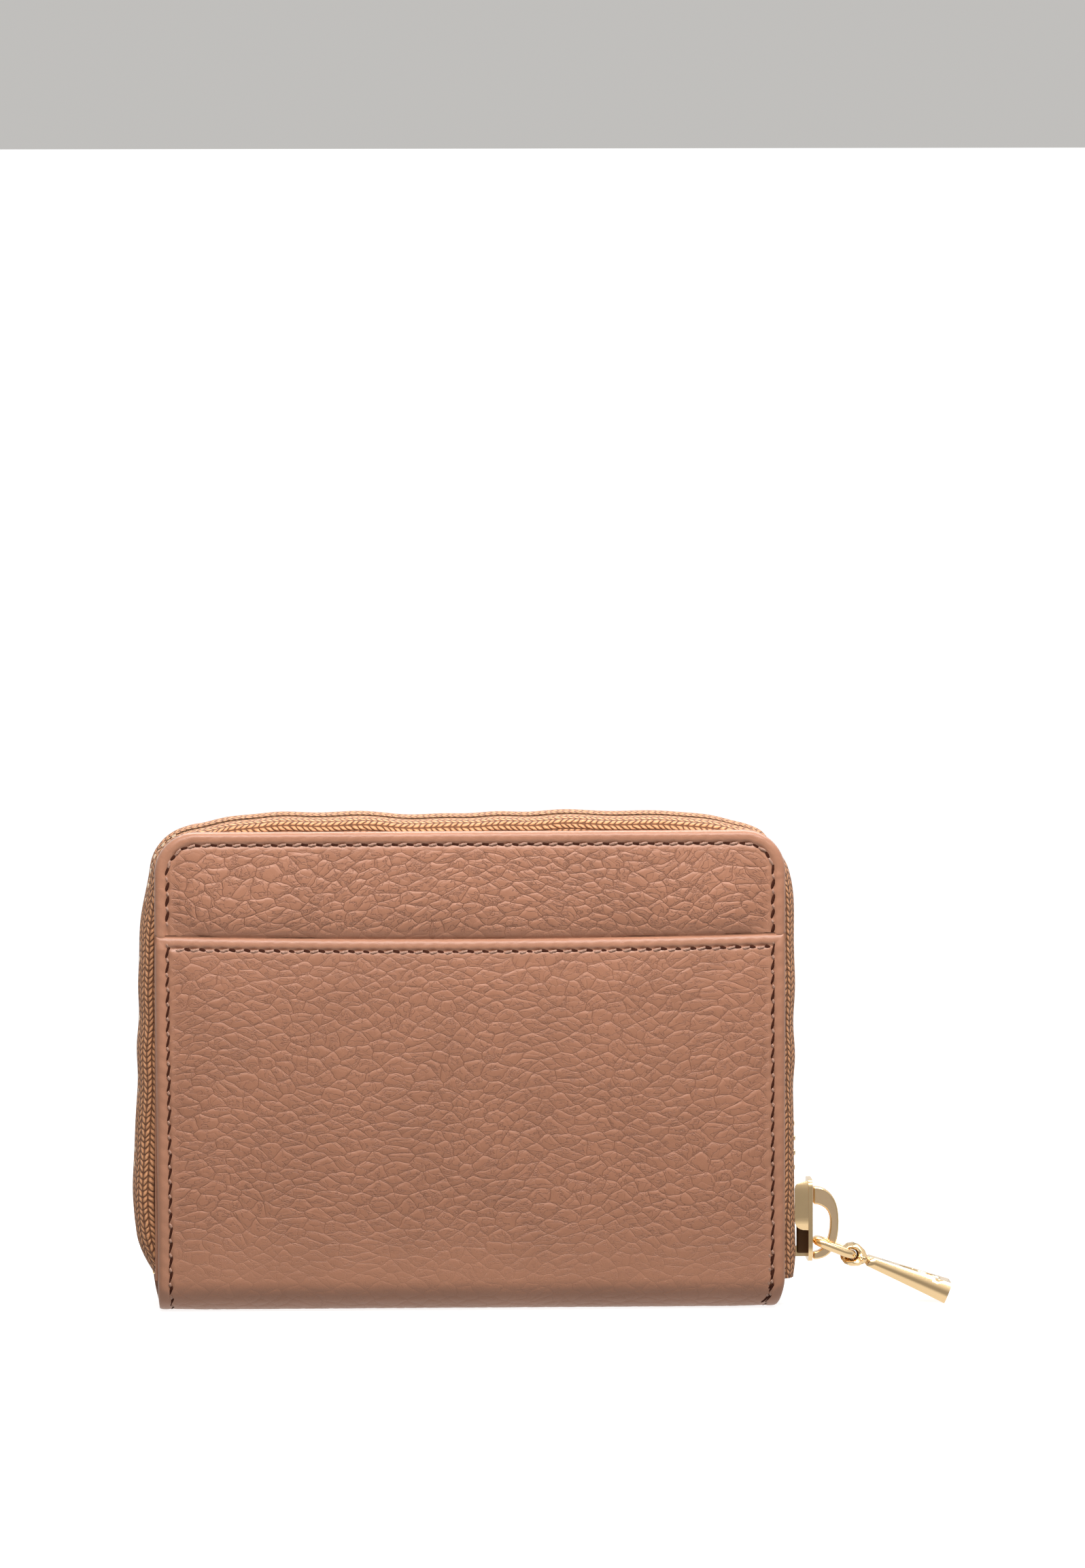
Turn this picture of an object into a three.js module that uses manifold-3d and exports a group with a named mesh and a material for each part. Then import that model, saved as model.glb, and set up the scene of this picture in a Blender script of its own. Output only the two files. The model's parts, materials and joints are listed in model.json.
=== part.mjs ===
// A small zip-around wallet of pebbled leather, standing on its spine.
// Millimetres, +X to the right, +Y from the pocket side to the front, +Z up.
// The origin is the middle of the spine's flat underside.

import * as THREE from 'three';
import { mergeVertices } from 'three/addons/utils/BufferGeometryUtils.js';
import Module from 'manifold-3d';

const wasm = await Module();
wasm.setup();

// ---- driving dimensions ----

const width = 108;                 // leather, edge to edge
const height = 82.5;               // spine underside to the leather's top edge
const depth = 20.8;                // outside of the pocket panel to outside of the front
const cornerRadius = 7.2;          // upper corners of both leather panels
const spineRadius = 5.5;           // bend between each panel and the spine
const pocketLip = 65;              // height of the slip pocket's open edge
const gap = 0.3;                   // running gap between neighbouring layers

const pocketThickness = 1.0;
const leatherThickness = 1.1;
const boardThickness = 0.6;
const liningThickness = 0.5;
const slotThickness = 0.4;
const slotCount = 3;
const slotHalf = 46.5;             // half a card slot's width
const slotTop = 72;                // top edge of the tallest card slot
const slotStep = 9;                // how much lower each further slot's top edge is
const slotCorner = 1.5;
const boardCorner = 4;             // upper and lower corners of the boards and linings
const boardLowerCorner = 5;
const boardLow = 7;                // lowest edge of the boards and linings
const frontThickness = pocketThickness + gap + leatherThickness;

const zipOut = 2.1;                // how far the closed chain stands beyond the leather edge
const pocketHalf = 46;             // coin pocket, half its width
const pocketLow = 8.5;
const pocketHigh = 70;
const pocketWall = 0.6;
const pocketInner = 2.15;          // middle plane to the inside of each wall
const pocketCorner = 2;
const endDrop = 3;                 // the ends stop this far below the walls' top edges

const gussetFold = 14;             // how far each gusset folds in
const gussetSheet = 0.25;

const chainHalfGap = 0.45;         // each row of teeth to the middle plane
const chainHalfWidth = 2.8;        // outer side of each row of teeth from the middle plane
const toothThickness = 2.0;
const tapeThickness = 0.55;
const tapeInset = 3.8;             // how far the tape reaches in under the leather
const tapeEnd = 5.8;               // lowest point of both tapes
const leftTuck = 2.2;              // how far the closed end turns in behind the leather
const tuckHeight = 7;              // over this height
const teethEnd = tapeEnd + 2.2;    // lowest teeth, above the end stops

const sliderLength = 14.2;
const sliderLow = 7.3;             // lowest point of the slider, the end that closes the zip
const noseHalf = 4.3;              // half the plates' width at their closed end
const mouthHalf = 3.6;             // and at the end where the two rows come in
const bottomScale = 0.95;          // the lower plate is a little narrower
const plateOuter = 59.2;           // outside of the slider's top plate
const topThickness = 1.2;
const bottomInner = 53.7;          // the slider's lower plate, under the teeth
const bottomThickness = 0.9;
const webThickness = 0.3;          // the divider between the two rows
const webHigh = 5;                 // top of the divider, above the slider's lowest point
const flangeOuter = 4.0;           // side flanges on the pocket side
const flangeThickness = 0.6;
const flangeLow = 4.5;             // above the slider's lowest point
const flangeTopMargin = 1.2;       // below its highest point
const flangeReach = 0.8;           // how far each flange reaches towards the other plate
const bite = 0.2;                  // how far joined solids run into each other

const bridgeReach = 63.9;          // furthest point of the bridge
const bridgeHalfWidth = 1.1;
const bridgeHigh = 20.0;
const bridgeLow = 7.4;
const bridgeWire = 1.3;            // thickness of the bridge's lower foot
const bridgeSide = 1.45;           // and of its upright side
const bridgeTopFoot = 3;           // and of its upper foot

const ringPivot = { x: 62.3, z: 9.8 };
const ringInner = 2.3;             // pivot to the middle of the wire inside the bridge
const ringOuter = 4.2;             // pivot to the middle of the wire inside the pull's eye
const wireRadius = 0.65;
const ringHalfWidth = 2.05;        // middle plane to the middle of each side wire
const ringCorner = 1.4;            // corner radius of the wire's middle line
const pullDrop = THREE.MathUtils.degToRad(21.8);
const pullReach = 17.7;            // eye pivot to the tip
const pullTipThickness = 3.6;
const pullTipHalf = 3.5;           // half its width there
const pullTipCorner = 1.2;
const pullTipChamfer = 0.4;
const paddleStart = 2.9;           // eye pivot to the paddle
const paddleStartThickness = 1.5;
const paddleStartHalf = 1.9;
const waist = 0.62;                // where the paddle's sides curve out, as a share of its reach
const neckStart = 1.4;
const neckWidth = 1.6;
const neckThickness = 1.3;
const eyeRadius = 2.0;
const eyeCentre = 0.35;

const stopSize = { x: 2.0, y: 2.2, z: 0.9 };
const stopInset = 1.1;             // from the teeth's outer face to a stop's middle
const stopMiddle = 1.65;           // from the middle plane to a stop's middle

// ---- values worked out from them ----

const halfWidth = width / 2;
const halfDepth = depth / 2;
const boardOuter = halfDepth - frontThickness - gap;
const liningOuter = boardOuter - boardThickness - gap;
const slotOuter = liningOuter - liningThickness - gap;
const tapeLevel = boardOuter - tapeThickness / 2;

// ---- materials ----

const leatherBrown = new THREE.Color(0x9f7560);
const tapeBrown = new THREE.Color(0x8a5f48);
const liningTan = new THREE.Color(0xa98a72);
const paleGold = new THREE.Color(0xe6c78f);
const boardGrey = new THREE.Color(0xb8ac98);

const finish = (color, roughness, metalness = 0) => () =>
  new THREE.MeshStandardMaterial({ color, roughness, metalness });
const leather = finish(leatherBrown, 0.5);
const tapeCloth = finish(tapeBrown, 0.85);
const liningCloth = finish(liningTan, 0.8);
const board = finish(boardGrey, 0.9);
const gold = finish(paleGold, 0.18, 1);

// ---- helpers ----

function named(name, geometry, material) {
  const mesh = new THREE.Mesh(geometry, material());
  mesh.name = name;
  return mesh;
}

function toManifold(geometry) {
  const bare = geometry.index ? geometry.toNonIndexed() : geometry.clone();
  bare.deleteAttribute('normal');
  bare.deleteAttribute('uv');
  const merged = mergeVertices(bare, 1e-4);
  return new wasm.Manifold(new wasm.Mesh({
    numProp: 3,
    vertProperties: new Float32Array(merged.attributes.position.array),
    triVerts: new Uint32Array(merged.index.array),
  }));
}

function toGeometry(manifold) {
  const mesh = manifold.getMesh();
  const geometry = new THREE.BufferGeometry();
  const position = new THREE.BufferAttribute(new Float32Array(mesh.vertProperties), 3);
  geometry.setAttribute('position', position);
  geometry.setIndex(new THREE.BufferAttribute(new Uint32Array(mesh.triVerts), 1));
  return geometry;
}

const union = (first, ...rest) =>
  toGeometry(rest.reduce((whole, next) => whole.add(toManifold(next)), toManifold(first)));
const common = (a, b) => toGeometry(toManifold(a).intersect(toManifold(b)));
const without = (a, ...rest) =>
  toGeometry(rest.reduce((whole, next) => whole.subtract(toManifold(next)), toManifold(a)));

function extrude(shape, depthOfShape, curveSegments = 6) {
  return new THREE.ExtrudeGeometry(shape, { depth: depthOfShape, bevelEnabled: false, curveSegments });
}

// A shape drawn in X and Z, given thickness from yLow to yHigh.
function slabAlongY(shape, yLow, yHigh, curveSegments) {
  return extrude(shape, yHigh - yLow, curveSegments).rotateX(Math.PI / 2).translate(0, yHigh, 0);
}

// A shape drawn in Y and Z, given thickness from xLow to xHigh.
function slabAlongX(shape, xLow, xHigh, curveSegments) {
  return extrude(shape, xHigh - xLow, curveSegments)
    .rotateY(Math.PI / 2)
    .rotateX(Math.PI / 2)
    .translate(xLow, 0, 0);
}

// An upright panel with round upper corners, and square lower ones unless they get a radius.
function panelShape(half, low, high, radius, lowerRadius = 0) {
  const shape = new THREE.Shape();
  shape.moveTo(-half, low + lowerRadius);
  if (lowerRadius > 0) {
    shape.absarc(-half + lowerRadius, low + lowerRadius, lowerRadius, Math.PI, Math.PI * 1.5, false);
    shape.absarc(half - lowerRadius, low + lowerRadius, lowerRadius, -Math.PI / 2, 0, false);
  } else {
    shape.lineTo(half, low);
  }
  shape.lineTo(half, high - radius);
  shape.absarc(half - radius, high - radius, radius, 0, Math.PI / 2, false);
  shape.lineTo(-half + radius, high);
  shape.absarc(-half + radius, high - radius, radius, Math.PI / 2, Math.PI, false);
  shape.closePath();
  return shape;
}

// A path sampled only at the stations it is given, so that straight runs stay plain.
class StationPath extends THREE.Curve {
  constructor(stations) {
    super();
    this.stations = stations;
  }

  get steps() {
    return this.stations.length - 1;
  }

  getPointAt(u, target = new THREE.Vector3()) {
    return target.copy(this.stations[Math.round(u * this.steps)]);
  }

  getTangentAt(u, target = new THREE.Vector3()) {
    const here = Math.round(u * this.steps);
    const before = this.stations[Math.max(here - 1, 0)];
    const after = this.stations[Math.min(here + 1, this.steps)];
    return target.copy(after).sub(before).normalize();
  }
}

// The leather's outline from the lower left, over the top, to the lower right.
// It turns in at its closed end, on the left.
function zipPath(low) {
  const cornerX = halfWidth - cornerRadius;
  const cornerZ = height - cornerRadius;
  const stations = [];
  for (let z = low; z < tapeEnd + tuckHeight; z += tuckHeight / 4) {
    const tuck = leftTuck * (1 - (z - tapeEnd) / tuckHeight) ** 2;
    stations.push([-halfWidth + tuck, z]);
  }
  const turns = 6;
  for (const [side, start] of [[-1, Math.PI], [1, Math.PI / 2]]) {
    for (let i = 0; i <= turns; i += 1) {
      const angle = start - (i / turns) * (Math.PI / 2);
      const x = side * cornerX + cornerRadius * Math.cos(angle);
      stations.push([x, cornerZ + cornerRadius * Math.sin(angle)]);
    }
  }
  stations.push([halfWidth, low]);
  return new StationPath(stations.map(([x, z]) => new THREE.Vector3(x, 0, z)));
}

// A closed section swept round the outline. Its points are [out, y]: out is the distance
// beyond the leather's edge. The sweep's own axes are -Y and inward.
function sweepRound(section, low) {
  const shape = new THREE.Shape(section.map(([out, y]) => new THREE.Vector2(-y, -out)));
  const path = zipPath(low);
  const settings = { steps: path.steps, bevelEnabled: false, extrudePath: path };
  return new THREE.ExtrudeGeometry(shape, settings);
}

// ---- outer leather ----

// The upright wall, the bend at its foot and, on the pocket side, the spine.
// Drawn with the outside at +Y and turned round for the pocket side.
function shellProfile(thickness, top, spineEnd, bendStart) {
  const centreY = halfDepth - spineRadius;
  const innerRadius = spineRadius - thickness;
  const shape = new THREE.Shape();
  shape.moveTo(halfDepth, top);
  shape.lineTo(halfDepth - thickness, top);
  shape.lineTo(halfDepth - thickness, spineRadius);
  shape.absarc(centreY, spineRadius, innerRadius, 0, bendStart, true);
  if (spineEnd !== null) {
    shape.lineTo(spineEnd, thickness);
    shape.lineTo(spineEnd, 0);
  }
  shape.absarc(centreY, spineRadius, spineRadius, bendStart, 0, false);
  shape.closePath();
  return shape;
}

function pocketAndSpine() {
  const spineEnd = -(halfDepth - spineRadius) - 1.4;
  const geometry = slabAlongX(
    shellProfile(pocketThickness, pocketLip, spineEnd, -Math.PI / 2), -halfWidth, halfWidth);
  return named('pocket_and_spine_leather', geometry.rotateZ(Math.PI), leather);
}

function backPanel() {
  const outer = -halfDepth + pocketThickness + gap;
  const shape = panelShape(halfWidth, spineRadius, height, cornerRadius);
  return named('back_panel_leather', slabAlongY(shape, outer, outer + leatherThickness), leather);
}

function frontLeather() {
  const bendStart = THREE.MathUtils.degToRad(-50);
  const wall = slabAlongX(
    shellProfile(frontThickness - gap, height, null, bendStart), -halfWidth, halfWidth);
  const outline = slabAlongY(panelShape(halfWidth, -1, height, cornerRadius), 0, depth);
  return named('front_leather', common(wall, outline), leather);
}

// ---- boards, linings and card slots, the same on both halves ----

function innerLayers(side, sign) {
  const layer = (name, shape, outer, thickness, material) => {
    const [a, b] = [sign * outer, sign * (outer - thickness)];
    return named(`${side}_${name}`, slabAlongY(shape, Math.min(a, b), Math.max(a, b)), material);
  };
  const boardHalf = halfWidth - tapeInset - gap;
  const boardTop = height - tapeInset - gap;
  const boardShape = panelShape(boardHalf, boardLow, boardTop, boardCorner, boardLowerCorner);
  const layers = [
    layer('board', boardShape, boardOuter, boardThickness, board),
    layer('lining', boardShape, liningOuter, liningThickness, liningCloth),
  ];
  for (let i = 0; i < slotCount; i += 1) {
    const shape = panelShape(slotHalf, boardLow + 1, slotTop - i * slotStep, slotCorner);
    const outer = slotOuter - i * (slotThickness + gap);
    layers.push(layer(`card_slot_${i + 1}`, shape, outer, slotThickness, leather));
  }
  return layers;
}

function spineLining() {
  const sideMargin = 1.5;
  const setBack = 0.6;             // kept clear of the bend on the front side
  const stripDepth = 2 * (halfDepth - spineRadius - setBack);
  const strip = new THREE.BoxGeometry(2 * (halfWidth - sideMargin), stripDepth, liningThickness);
  const mesh = named('spine_lining', strip, liningCloth);
  mesh.position.set(0, -setBack, pocketThickness + gap + liningThickness / 2);
  return mesh;
}

// ---- coin pocket between the halves, open at the top ----

function coinPocket() {
  const walls = [['front', pocketInner], ['back', -pocketInner - pocketWall]].map(([side, low]) => {
    const shape = panelShape(pocketHalf, pocketLow, pocketHigh, pocketCorner);
    return named(`coin_pocket_${side}_wall`, slabAlongY(shape, low, low + pocketWall), leather);
  });
  const inside = 2 * (pocketInner - gap);
  const base = named(
    'coin_pocket_base', new THREE.BoxGeometry(2 * pocketHalf, inside, pocketWall), liningCloth);
  base.position.set(0, 0, pocketLow + pocketWall / 2);
  const endHeight = pocketHigh - endDrop - (pocketLow + pocketWall + gap);
  const ends = [['left', -1], ['right', 1]].map(([side, sign]) => {
    const end = named(
      `coin_pocket_${side}_end`, new THREE.BoxGeometry(pocketWall, inside, endHeight), liningCloth);
    end.position.set(sign * (pocketHalf - pocketWall / 2), 0, pocketLow + pocketWall + gap + endHeight / 2);
    return end;
  });
  return [...walls, base, ...ends];
}

// ---- accordion gussets: thin leather folded in between each half and the coin pocket ----

function gusset(half, side) {
  const ySign = half === 'back' ? -1 : 1;
  const xSign = side === 'left' ? -1 : 1;
  const outerY = slotOuter - slotCount * (slotThickness + gap);
  const innerY = pocketInner + pocketWall + gap;
  const middle = (outerY + innerY) / 2;
  const mouth = pocketHalf + 1.5;
  const outline = [
    [mouth, outerY],
    [mouth - gussetFold, middle + 0.1],
    [mouth - gussetFold, middle - 0.1],
    [mouth, innerY],
    [mouth, innerY + gussetSheet],
    [mouth - gussetFold + 1.5, middle],
    [mouth, outerY - gussetSheet],
  ].map(([x, y]) => new THREE.Vector2(xSign * x, ySign * y));
  const tall = pocketHigh - pocketLow - 4;
  const mesh = named(`${half}_gusset_${side}`, extrude(new THREE.Shape(outline), tall), leather);
  mesh.position.z = pocketLow + 1;
  return mesh;
}

// ---- zip ----

function zipTape(side, sign) {
  const middle = [
    [-tapeInset, tapeLevel],
    [-0.3, tapeLevel],
    [0.75, tapeLevel - 0.7],
    [1.3, tapeLevel - 2.2],
    [1.45, chainHalfWidth + gap],
  ];
  const outside = middle.map((_, i) => offsetPoint(middle, i, tapeThickness / 2));
  const inside = middle.map((_, i) => offsetPoint(middle, i, -tapeThickness / 2));
  const section = [...outside, ...inside.reverse()].map(([out, y]) => [out, sign * y]);
  return named(`${side}_zip_tape`, sweepRound(section, tapeEnd), tapeCloth);
}

// A point of a bent line moved sideways by a distance.
function offsetPoint(line, i, distance) {
  const [ax, ay] = line[Math.max(i - 1, 0)];
  const [bx, by] = line[Math.min(i + 1, line.length - 1)];
  const length = Math.hypot(bx - ax, by - ay);
  return [line[i][0] - (by - ay) / length * distance, line[i][1] + (bx - ax) / length * distance];
}

function zipTeeth(side, sign) {
  const low = zipOut - toothThickness;
  const chamfer = 0.35;
  const section = [
    [low, chainHalfGap],
    [zipOut, chainHalfGap],
    [zipOut, chainHalfWidth - chamfer],
    [zipOut - chamfer, chainHalfWidth],
    [low + chamfer, chainHalfWidth],
    [low, chainHalfWidth - chamfer],
  ].map(([out, y]) => [out, sign * y]);
  return named(`${side}_zip_teeth`, sweepRound(section, teethEnd), gold);
}

// ---- slider: two plates joined by a thin web between the rows, mouth up ----

function plateShape(scale) {
  const low = sliderLow;
  const high = sliderLow + sliderLength;
  const nose = noseHalf * scale;
  const mouth = mouthHalf * scale;
  const mouthCorner = 2;
  const noseCorner = 5;
  const shape = new THREE.Shape();
  shape.moveTo(-mouth, high - mouthCorner);
  shape.quadraticCurveTo(-mouth, high, -mouth + mouthCorner, high);
  shape.lineTo(mouth - mouthCorner, high);
  shape.quadraticCurveTo(mouth, high, mouth, high - mouthCorner);
  shape.lineTo(nose, low + noseCorner);
  shape.quadraticCurveTo(nose, low, 0, low);
  shape.quadraticCurveTo(-nose, low, -nose, low + noseCorner);
  shape.closePath();
  return shape;
}

function sliderBody() {
  const topInner = plateOuter - topThickness;
  const bottomOuter = bottomInner - bottomThickness;
  const wallLow = sliderLow + flangeLow;
  const wallHigh = sliderLow + sliderLength - flangeTopMargin;
  const flangeInner = flangeOuter - flangeThickness;
  const halfWeb = webThickness / 2;
  const box = (x0, x1, y0, y1, z0, z1) =>
    new THREE.BoxGeometry(x1 - x0, y1 - y0, z1 - z0)
      .translate((x0 + x1) / 2, (y0 + y1) / 2, (z0 + z1) / 2);
  const geometry = union(
    slabAlongX(plateShape(1), topInner, plateOuter, 4),
    slabAlongX(plateShape(bottomScale), bottomOuter, bottomInner, 4),
    box(bottomInner - bite, topInner + bite, -halfWeb, halfWeb, sliderLow + 0.6, sliderLow + webHigh),
    box(topInner - flangeReach, topInner + bite, -flangeOuter, -flangeInner, wallLow, wallHigh),
    box(bottomInner - bite, bottomInner + flangeReach, -flangeOuter, -flangeInner, wallLow, wallHigh),
  );
  return named('slider_body', geometry, gold);
}

// The D that the ring hangs in, with a broad upper foot and a lower foot.
function sliderBridge() {
  const foot = plateOuter + gap;
  const innerReach = bridgeReach - bridgeSide;
  const middle = bridgeHigh - 6;
  const shape = new THREE.Shape();
  shape.moveTo(foot, bridgeHigh);
  shape.bezierCurveTo(foot + 2.6, bridgeHigh, bridgeReach, bridgeHigh - 2, bridgeReach, middle);
  shape.bezierCurveTo(bridgeReach, bridgeLow + 2, foot + 3, bridgeLow, foot, bridgeLow);
  shape.lineTo(foot, bridgeLow + bridgeWire);
  shape.bezierCurveTo(foot + 1.6, bridgeLow + bridgeWire, innerReach, bridgeLow + 3, innerReach, middle);
  const topInner = bridgeHigh - bridgeTopFoot;
  shape.bezierCurveTo(innerReach, middle + 2, foot + 1.6, topInner, foot, topInner);
  shape.closePath();
  return named('slider_bridge', slabAlongY(shape, -bridgeHalfWidth, bridgeHalfWidth, 5), gold);
}

// ---- ring and pull, each drawn along +X from its own pivot ----

function roundedLoop(shape, middle, halfLength, half, radius) {
  const corners = [
    [1, -1, -Math.PI / 2],
    [1, 1, 0],
    [-1, 1, Math.PI / 2],
    [-1, -1, Math.PI],
  ];
  for (const [u, y, start] of corners) {
    const centreX = middle + u * (halfLength - radius);
    shape.absarc(centreX, y * (half - radius), radius, start, start + Math.PI / 2, false);
  }
  shape.closePath();
  return shape;
}

function linkRing() {
  const middle = (ringOuter - ringInner) / 2;
  const halfLength = (ringOuter + ringInner) / 2;
  const loop = (path, grow) =>
    roundedLoop(path, middle, halfLength + grow, ringHalfWidth + grow, ringCorner + grow);
  const ring = loop(new THREE.Shape(), wireRadius);
  ring.holes.push(loop(new THREE.Path(), -wireRadius));
  const thickness = 2 * wireRadius * 0.9;      // a little flatter than round
  return named('link_ring', extrude(ring, thickness, 4).translate(0, 0, -thickness / 2), gold);
}

function pullTab() {
  const chamferStart = pullReach - pullTipChamfer;
  const halfTip = pullTipThickness / 2;
  const side = new THREE.Shape();
  side.moveTo(paddleStart, -paddleStartThickness / 2);
  side.lineTo(chamferStart, -halfTip);
  side.lineTo(pullReach, -halfTip + pullTipChamfer);
  side.lineTo(pullReach, halfTip - pullTipChamfer);
  side.lineTo(chamferStart, halfTip);
  side.lineTo(paddleStart, paddleStartThickness / 2);
  side.closePath();

  const waistPlace = pullReach * waist;
  const waistHalf = paddleStartHalf * 0.95;
  const cornerStart = pullReach - pullTipCorner;
  const plan = new THREE.Shape();
  plan.moveTo(paddleStart, -paddleStartHalf);
  plan.quadraticCurveTo(waistPlace, -waistHalf, cornerStart, -pullTipHalf);
  plan.quadraticCurveTo(pullReach, -pullTipHalf, pullReach, -pullTipHalf + pullTipCorner);
  plan.lineTo(pullReach, pullTipHalf - pullTipCorner);
  plan.quadraticCurveTo(pullReach, pullTipHalf, cornerStart, pullTipHalf);
  plan.quadraticCurveTo(waistPlace, waistHalf, paddleStart, paddleStartHalf);
  plan.closePath();
  const planDepth = 5;
  const sideSlab = slabAlongY(side, -pullTipHalf - 0.5, pullTipHalf + 0.5);
  const paddle = common(sideSlab, extrude(plan, planDepth).translate(0, 0, -planDepth / 2));

  const eyeHalf = ringHalfWidth - wireRadius - gap;
  const holeRadius = wireRadius + gap;
  const eye = new THREE.CylinderGeometry(eyeRadius, eyeRadius, 2 * eyeHalf, 10).translate(eyeCentre, 0, 0);
  const hole = new THREE.CylinderGeometry(holeRadius, holeRadius, 4, 12);
  const neckLength = paddleStart + gap - neckStart;
  const neck = new THREE.BoxGeometry(neckLength, neckWidth, neckThickness)
    .translate(neckStart + neckLength / 2, 0, 0);
  return named('pull_tab', without(union(eye, neck, paddle), hole), gold);
}

// ---- small fixed pieces ----

function endStop(half, side) {
  const ySign = half === 'back' ? -1 : 1;
  const xSign = side === 'left' ? -1 : 1;
  const block = new THREE.BoxGeometry(stopSize.x, stopSize.y, stopSize.z);
  const stop = named(`${half}_end_stop_${side}`, block, gold);
  const tuck = side === 'left' ? leftTuck * 0.75 : 0;
  stop.position.set(xSign * (halfWidth + zipOut - stopInset - tuck), ySign * stopMiddle, tapeEnd + 0.5);
  return stop;
}

// ---- assembly ----

function half(side, sign) {
  const group = new THREE.Group();
  group.add(
    ...innerLayers(side, sign),
    zipTape(side, sign),
    zipTeeth(side, sign),
    endStop(side, 'left'),
    endStop(side, 'right'),
    gusset(side, 'left'),
    gusset(side, 'right'),
  );
  return group;
}

function pull() {
  const hanging = new THREE.Group();
  hanging.position.set(ringPivot.x, 0, ringPivot.z);
  hanging.rotation.y = pullDrop;
  const tab = pullTab();
  tab.position.x = ringOuter;
  hanging.add(linkRing(), tab);
  return hanging;
}

const wallet = new THREE.Group();
const back = half('back', -1);
back.add(pocketAndSpine(), backPanel(), spineLining());
const front = half('front', 1);
front.add(frontLeather());
const zipSlider = new THREE.Group();
zipSlider.add(sliderBody(), sliderBridge(), pull());
wallet.add(back, front, ...coinPocket(), zipSlider);

export default wallet;
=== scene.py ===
"""A small zip-around wallet of pebbled leather, closed and standing on its spine.

Lengths in this script are millimetres unless a name says otherwise; make_object turns them into metres.
"""
import json
import math

import bmesh
import bpy
import numpy as np
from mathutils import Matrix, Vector


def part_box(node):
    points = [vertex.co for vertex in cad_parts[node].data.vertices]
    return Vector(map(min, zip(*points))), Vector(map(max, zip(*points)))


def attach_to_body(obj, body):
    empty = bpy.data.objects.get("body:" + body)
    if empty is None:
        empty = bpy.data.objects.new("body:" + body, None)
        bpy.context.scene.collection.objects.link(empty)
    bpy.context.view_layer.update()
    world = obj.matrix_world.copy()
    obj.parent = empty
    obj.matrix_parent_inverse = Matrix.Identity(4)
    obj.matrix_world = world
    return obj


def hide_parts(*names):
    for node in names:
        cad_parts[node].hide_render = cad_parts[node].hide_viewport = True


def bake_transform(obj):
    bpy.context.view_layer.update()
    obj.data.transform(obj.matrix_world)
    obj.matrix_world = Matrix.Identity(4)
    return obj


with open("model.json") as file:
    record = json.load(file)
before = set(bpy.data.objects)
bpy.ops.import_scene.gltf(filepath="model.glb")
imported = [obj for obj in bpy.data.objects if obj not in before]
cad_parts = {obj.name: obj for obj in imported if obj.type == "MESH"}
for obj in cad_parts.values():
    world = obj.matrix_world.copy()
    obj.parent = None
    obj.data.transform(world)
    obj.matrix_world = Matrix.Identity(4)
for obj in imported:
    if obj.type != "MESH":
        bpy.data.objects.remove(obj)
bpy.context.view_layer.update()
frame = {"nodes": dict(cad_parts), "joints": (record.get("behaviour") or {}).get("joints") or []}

MM = 0.001


# ---- places, from the frame ----


def box_mm(node):
    """The low and the high corner of a CAD node."""
    low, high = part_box(node)
    return low / MM, high / MM


pocket_low, pocket_high = box_mm("pocket_and_spine_leather")
panel_low, panel_high = box_mm("back_panel_leather")
front_low, front_high = box_mm("front_leather")
joints = {joint["name"]: joint for joint in frame["joints"]}

HALF_WIDTH = pocket_high.x
BACK_Y = pocket_low.y
FRONT_Y = front_high.y
LIP_Z = pocket_high.z
TOP_Z = panel_high.z
TAPE_END = box_mm("back_zip_tape")[0].z
TEETH_END = box_mm("back_zip_teeth")[0].z

CORNER = 7.2                # radius of the back leather's upper corners
FRONT_CORNER = 9.0          # the front cover's are drawn in further
BEND = 5.5                  # outside radius where a cover turns into the spine
LEATHER = 1.0               # thickness of the outer leather
STITCH_INSET = 2.15         # stitch line from the leather's edge
STITCH_PITCH = 2.57
TOOTH_PITCH = 2.53


# ---- camera, first ----


def make_camera():
    """A long lens from slightly above and to the left, with the wallet low and left in the frame."""
    azimuth, elevation = math.radians(-2.9), math.radians(5.0)
    distance = 2.0
    frame_height = 0.2677
    aim = Vector((0.0123, BACK_Y * MM, 0.0907))
    back = Vector((
        math.sin(azimuth) * math.cos(elevation),
        -math.cos(azimuth) * math.cos(elevation),
        math.sin(elevation),
    ))
    data = bpy.data.cameras.new("camera")
    data.sensor_width = 36
    data.lens = data.sensor_width * distance / frame_height
    data.clip_end = 10
    camera = bpy.data.objects.new("camera", data)
    camera.location = aim + back * distance
    camera.rotation_mode = "QUATERNION"
    camera.rotation_quaternion = (-back).to_track_quat("-Z", "Y")
    bpy.context.scene.collection.objects.link(camera)
    bpy.context.scene.camera = camera


make_camera()


# ---- making meshes ----


def make_object(name, vertices, faces, material, smooth=True):
    mesh = bpy.data.meshes.new(name)
    mesh.from_pydata((np.asarray(vertices, float) * MM).tolist(), [], faces)
    mesh.materials.append(material)
    mesh.validate()
    shell = bmesh.new()
    shell.from_mesh(mesh)
    bmesh.ops.recalc_face_normals(shell, faces=shell.faces)
    if shell.calc_volume(signed=True) < 0:
        bmesh.ops.reverse_faces(shell, faces=shell.faces)
    shell.to_mesh(mesh)
    shell.free()
    if smooth:
        mesh.shade_smooth()
    obj = bpy.data.objects.new(name, mesh)
    bpy.context.scene.collection.objects.link(obj)
    return obj


def set_points(obj, name, values):
    """Stores one number or one vector for each vertex, for the materials to read."""
    values = np.asarray(values, np.float32)
    vector = values.ndim == 2
    kind = "FLOAT_VECTOR" if vector else "FLOAT"
    attribute = obj.data.attributes.new(name, kind, "POINT")
    attribute.data.foreach_set("vector" if vector else "value", values.ravel())


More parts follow.
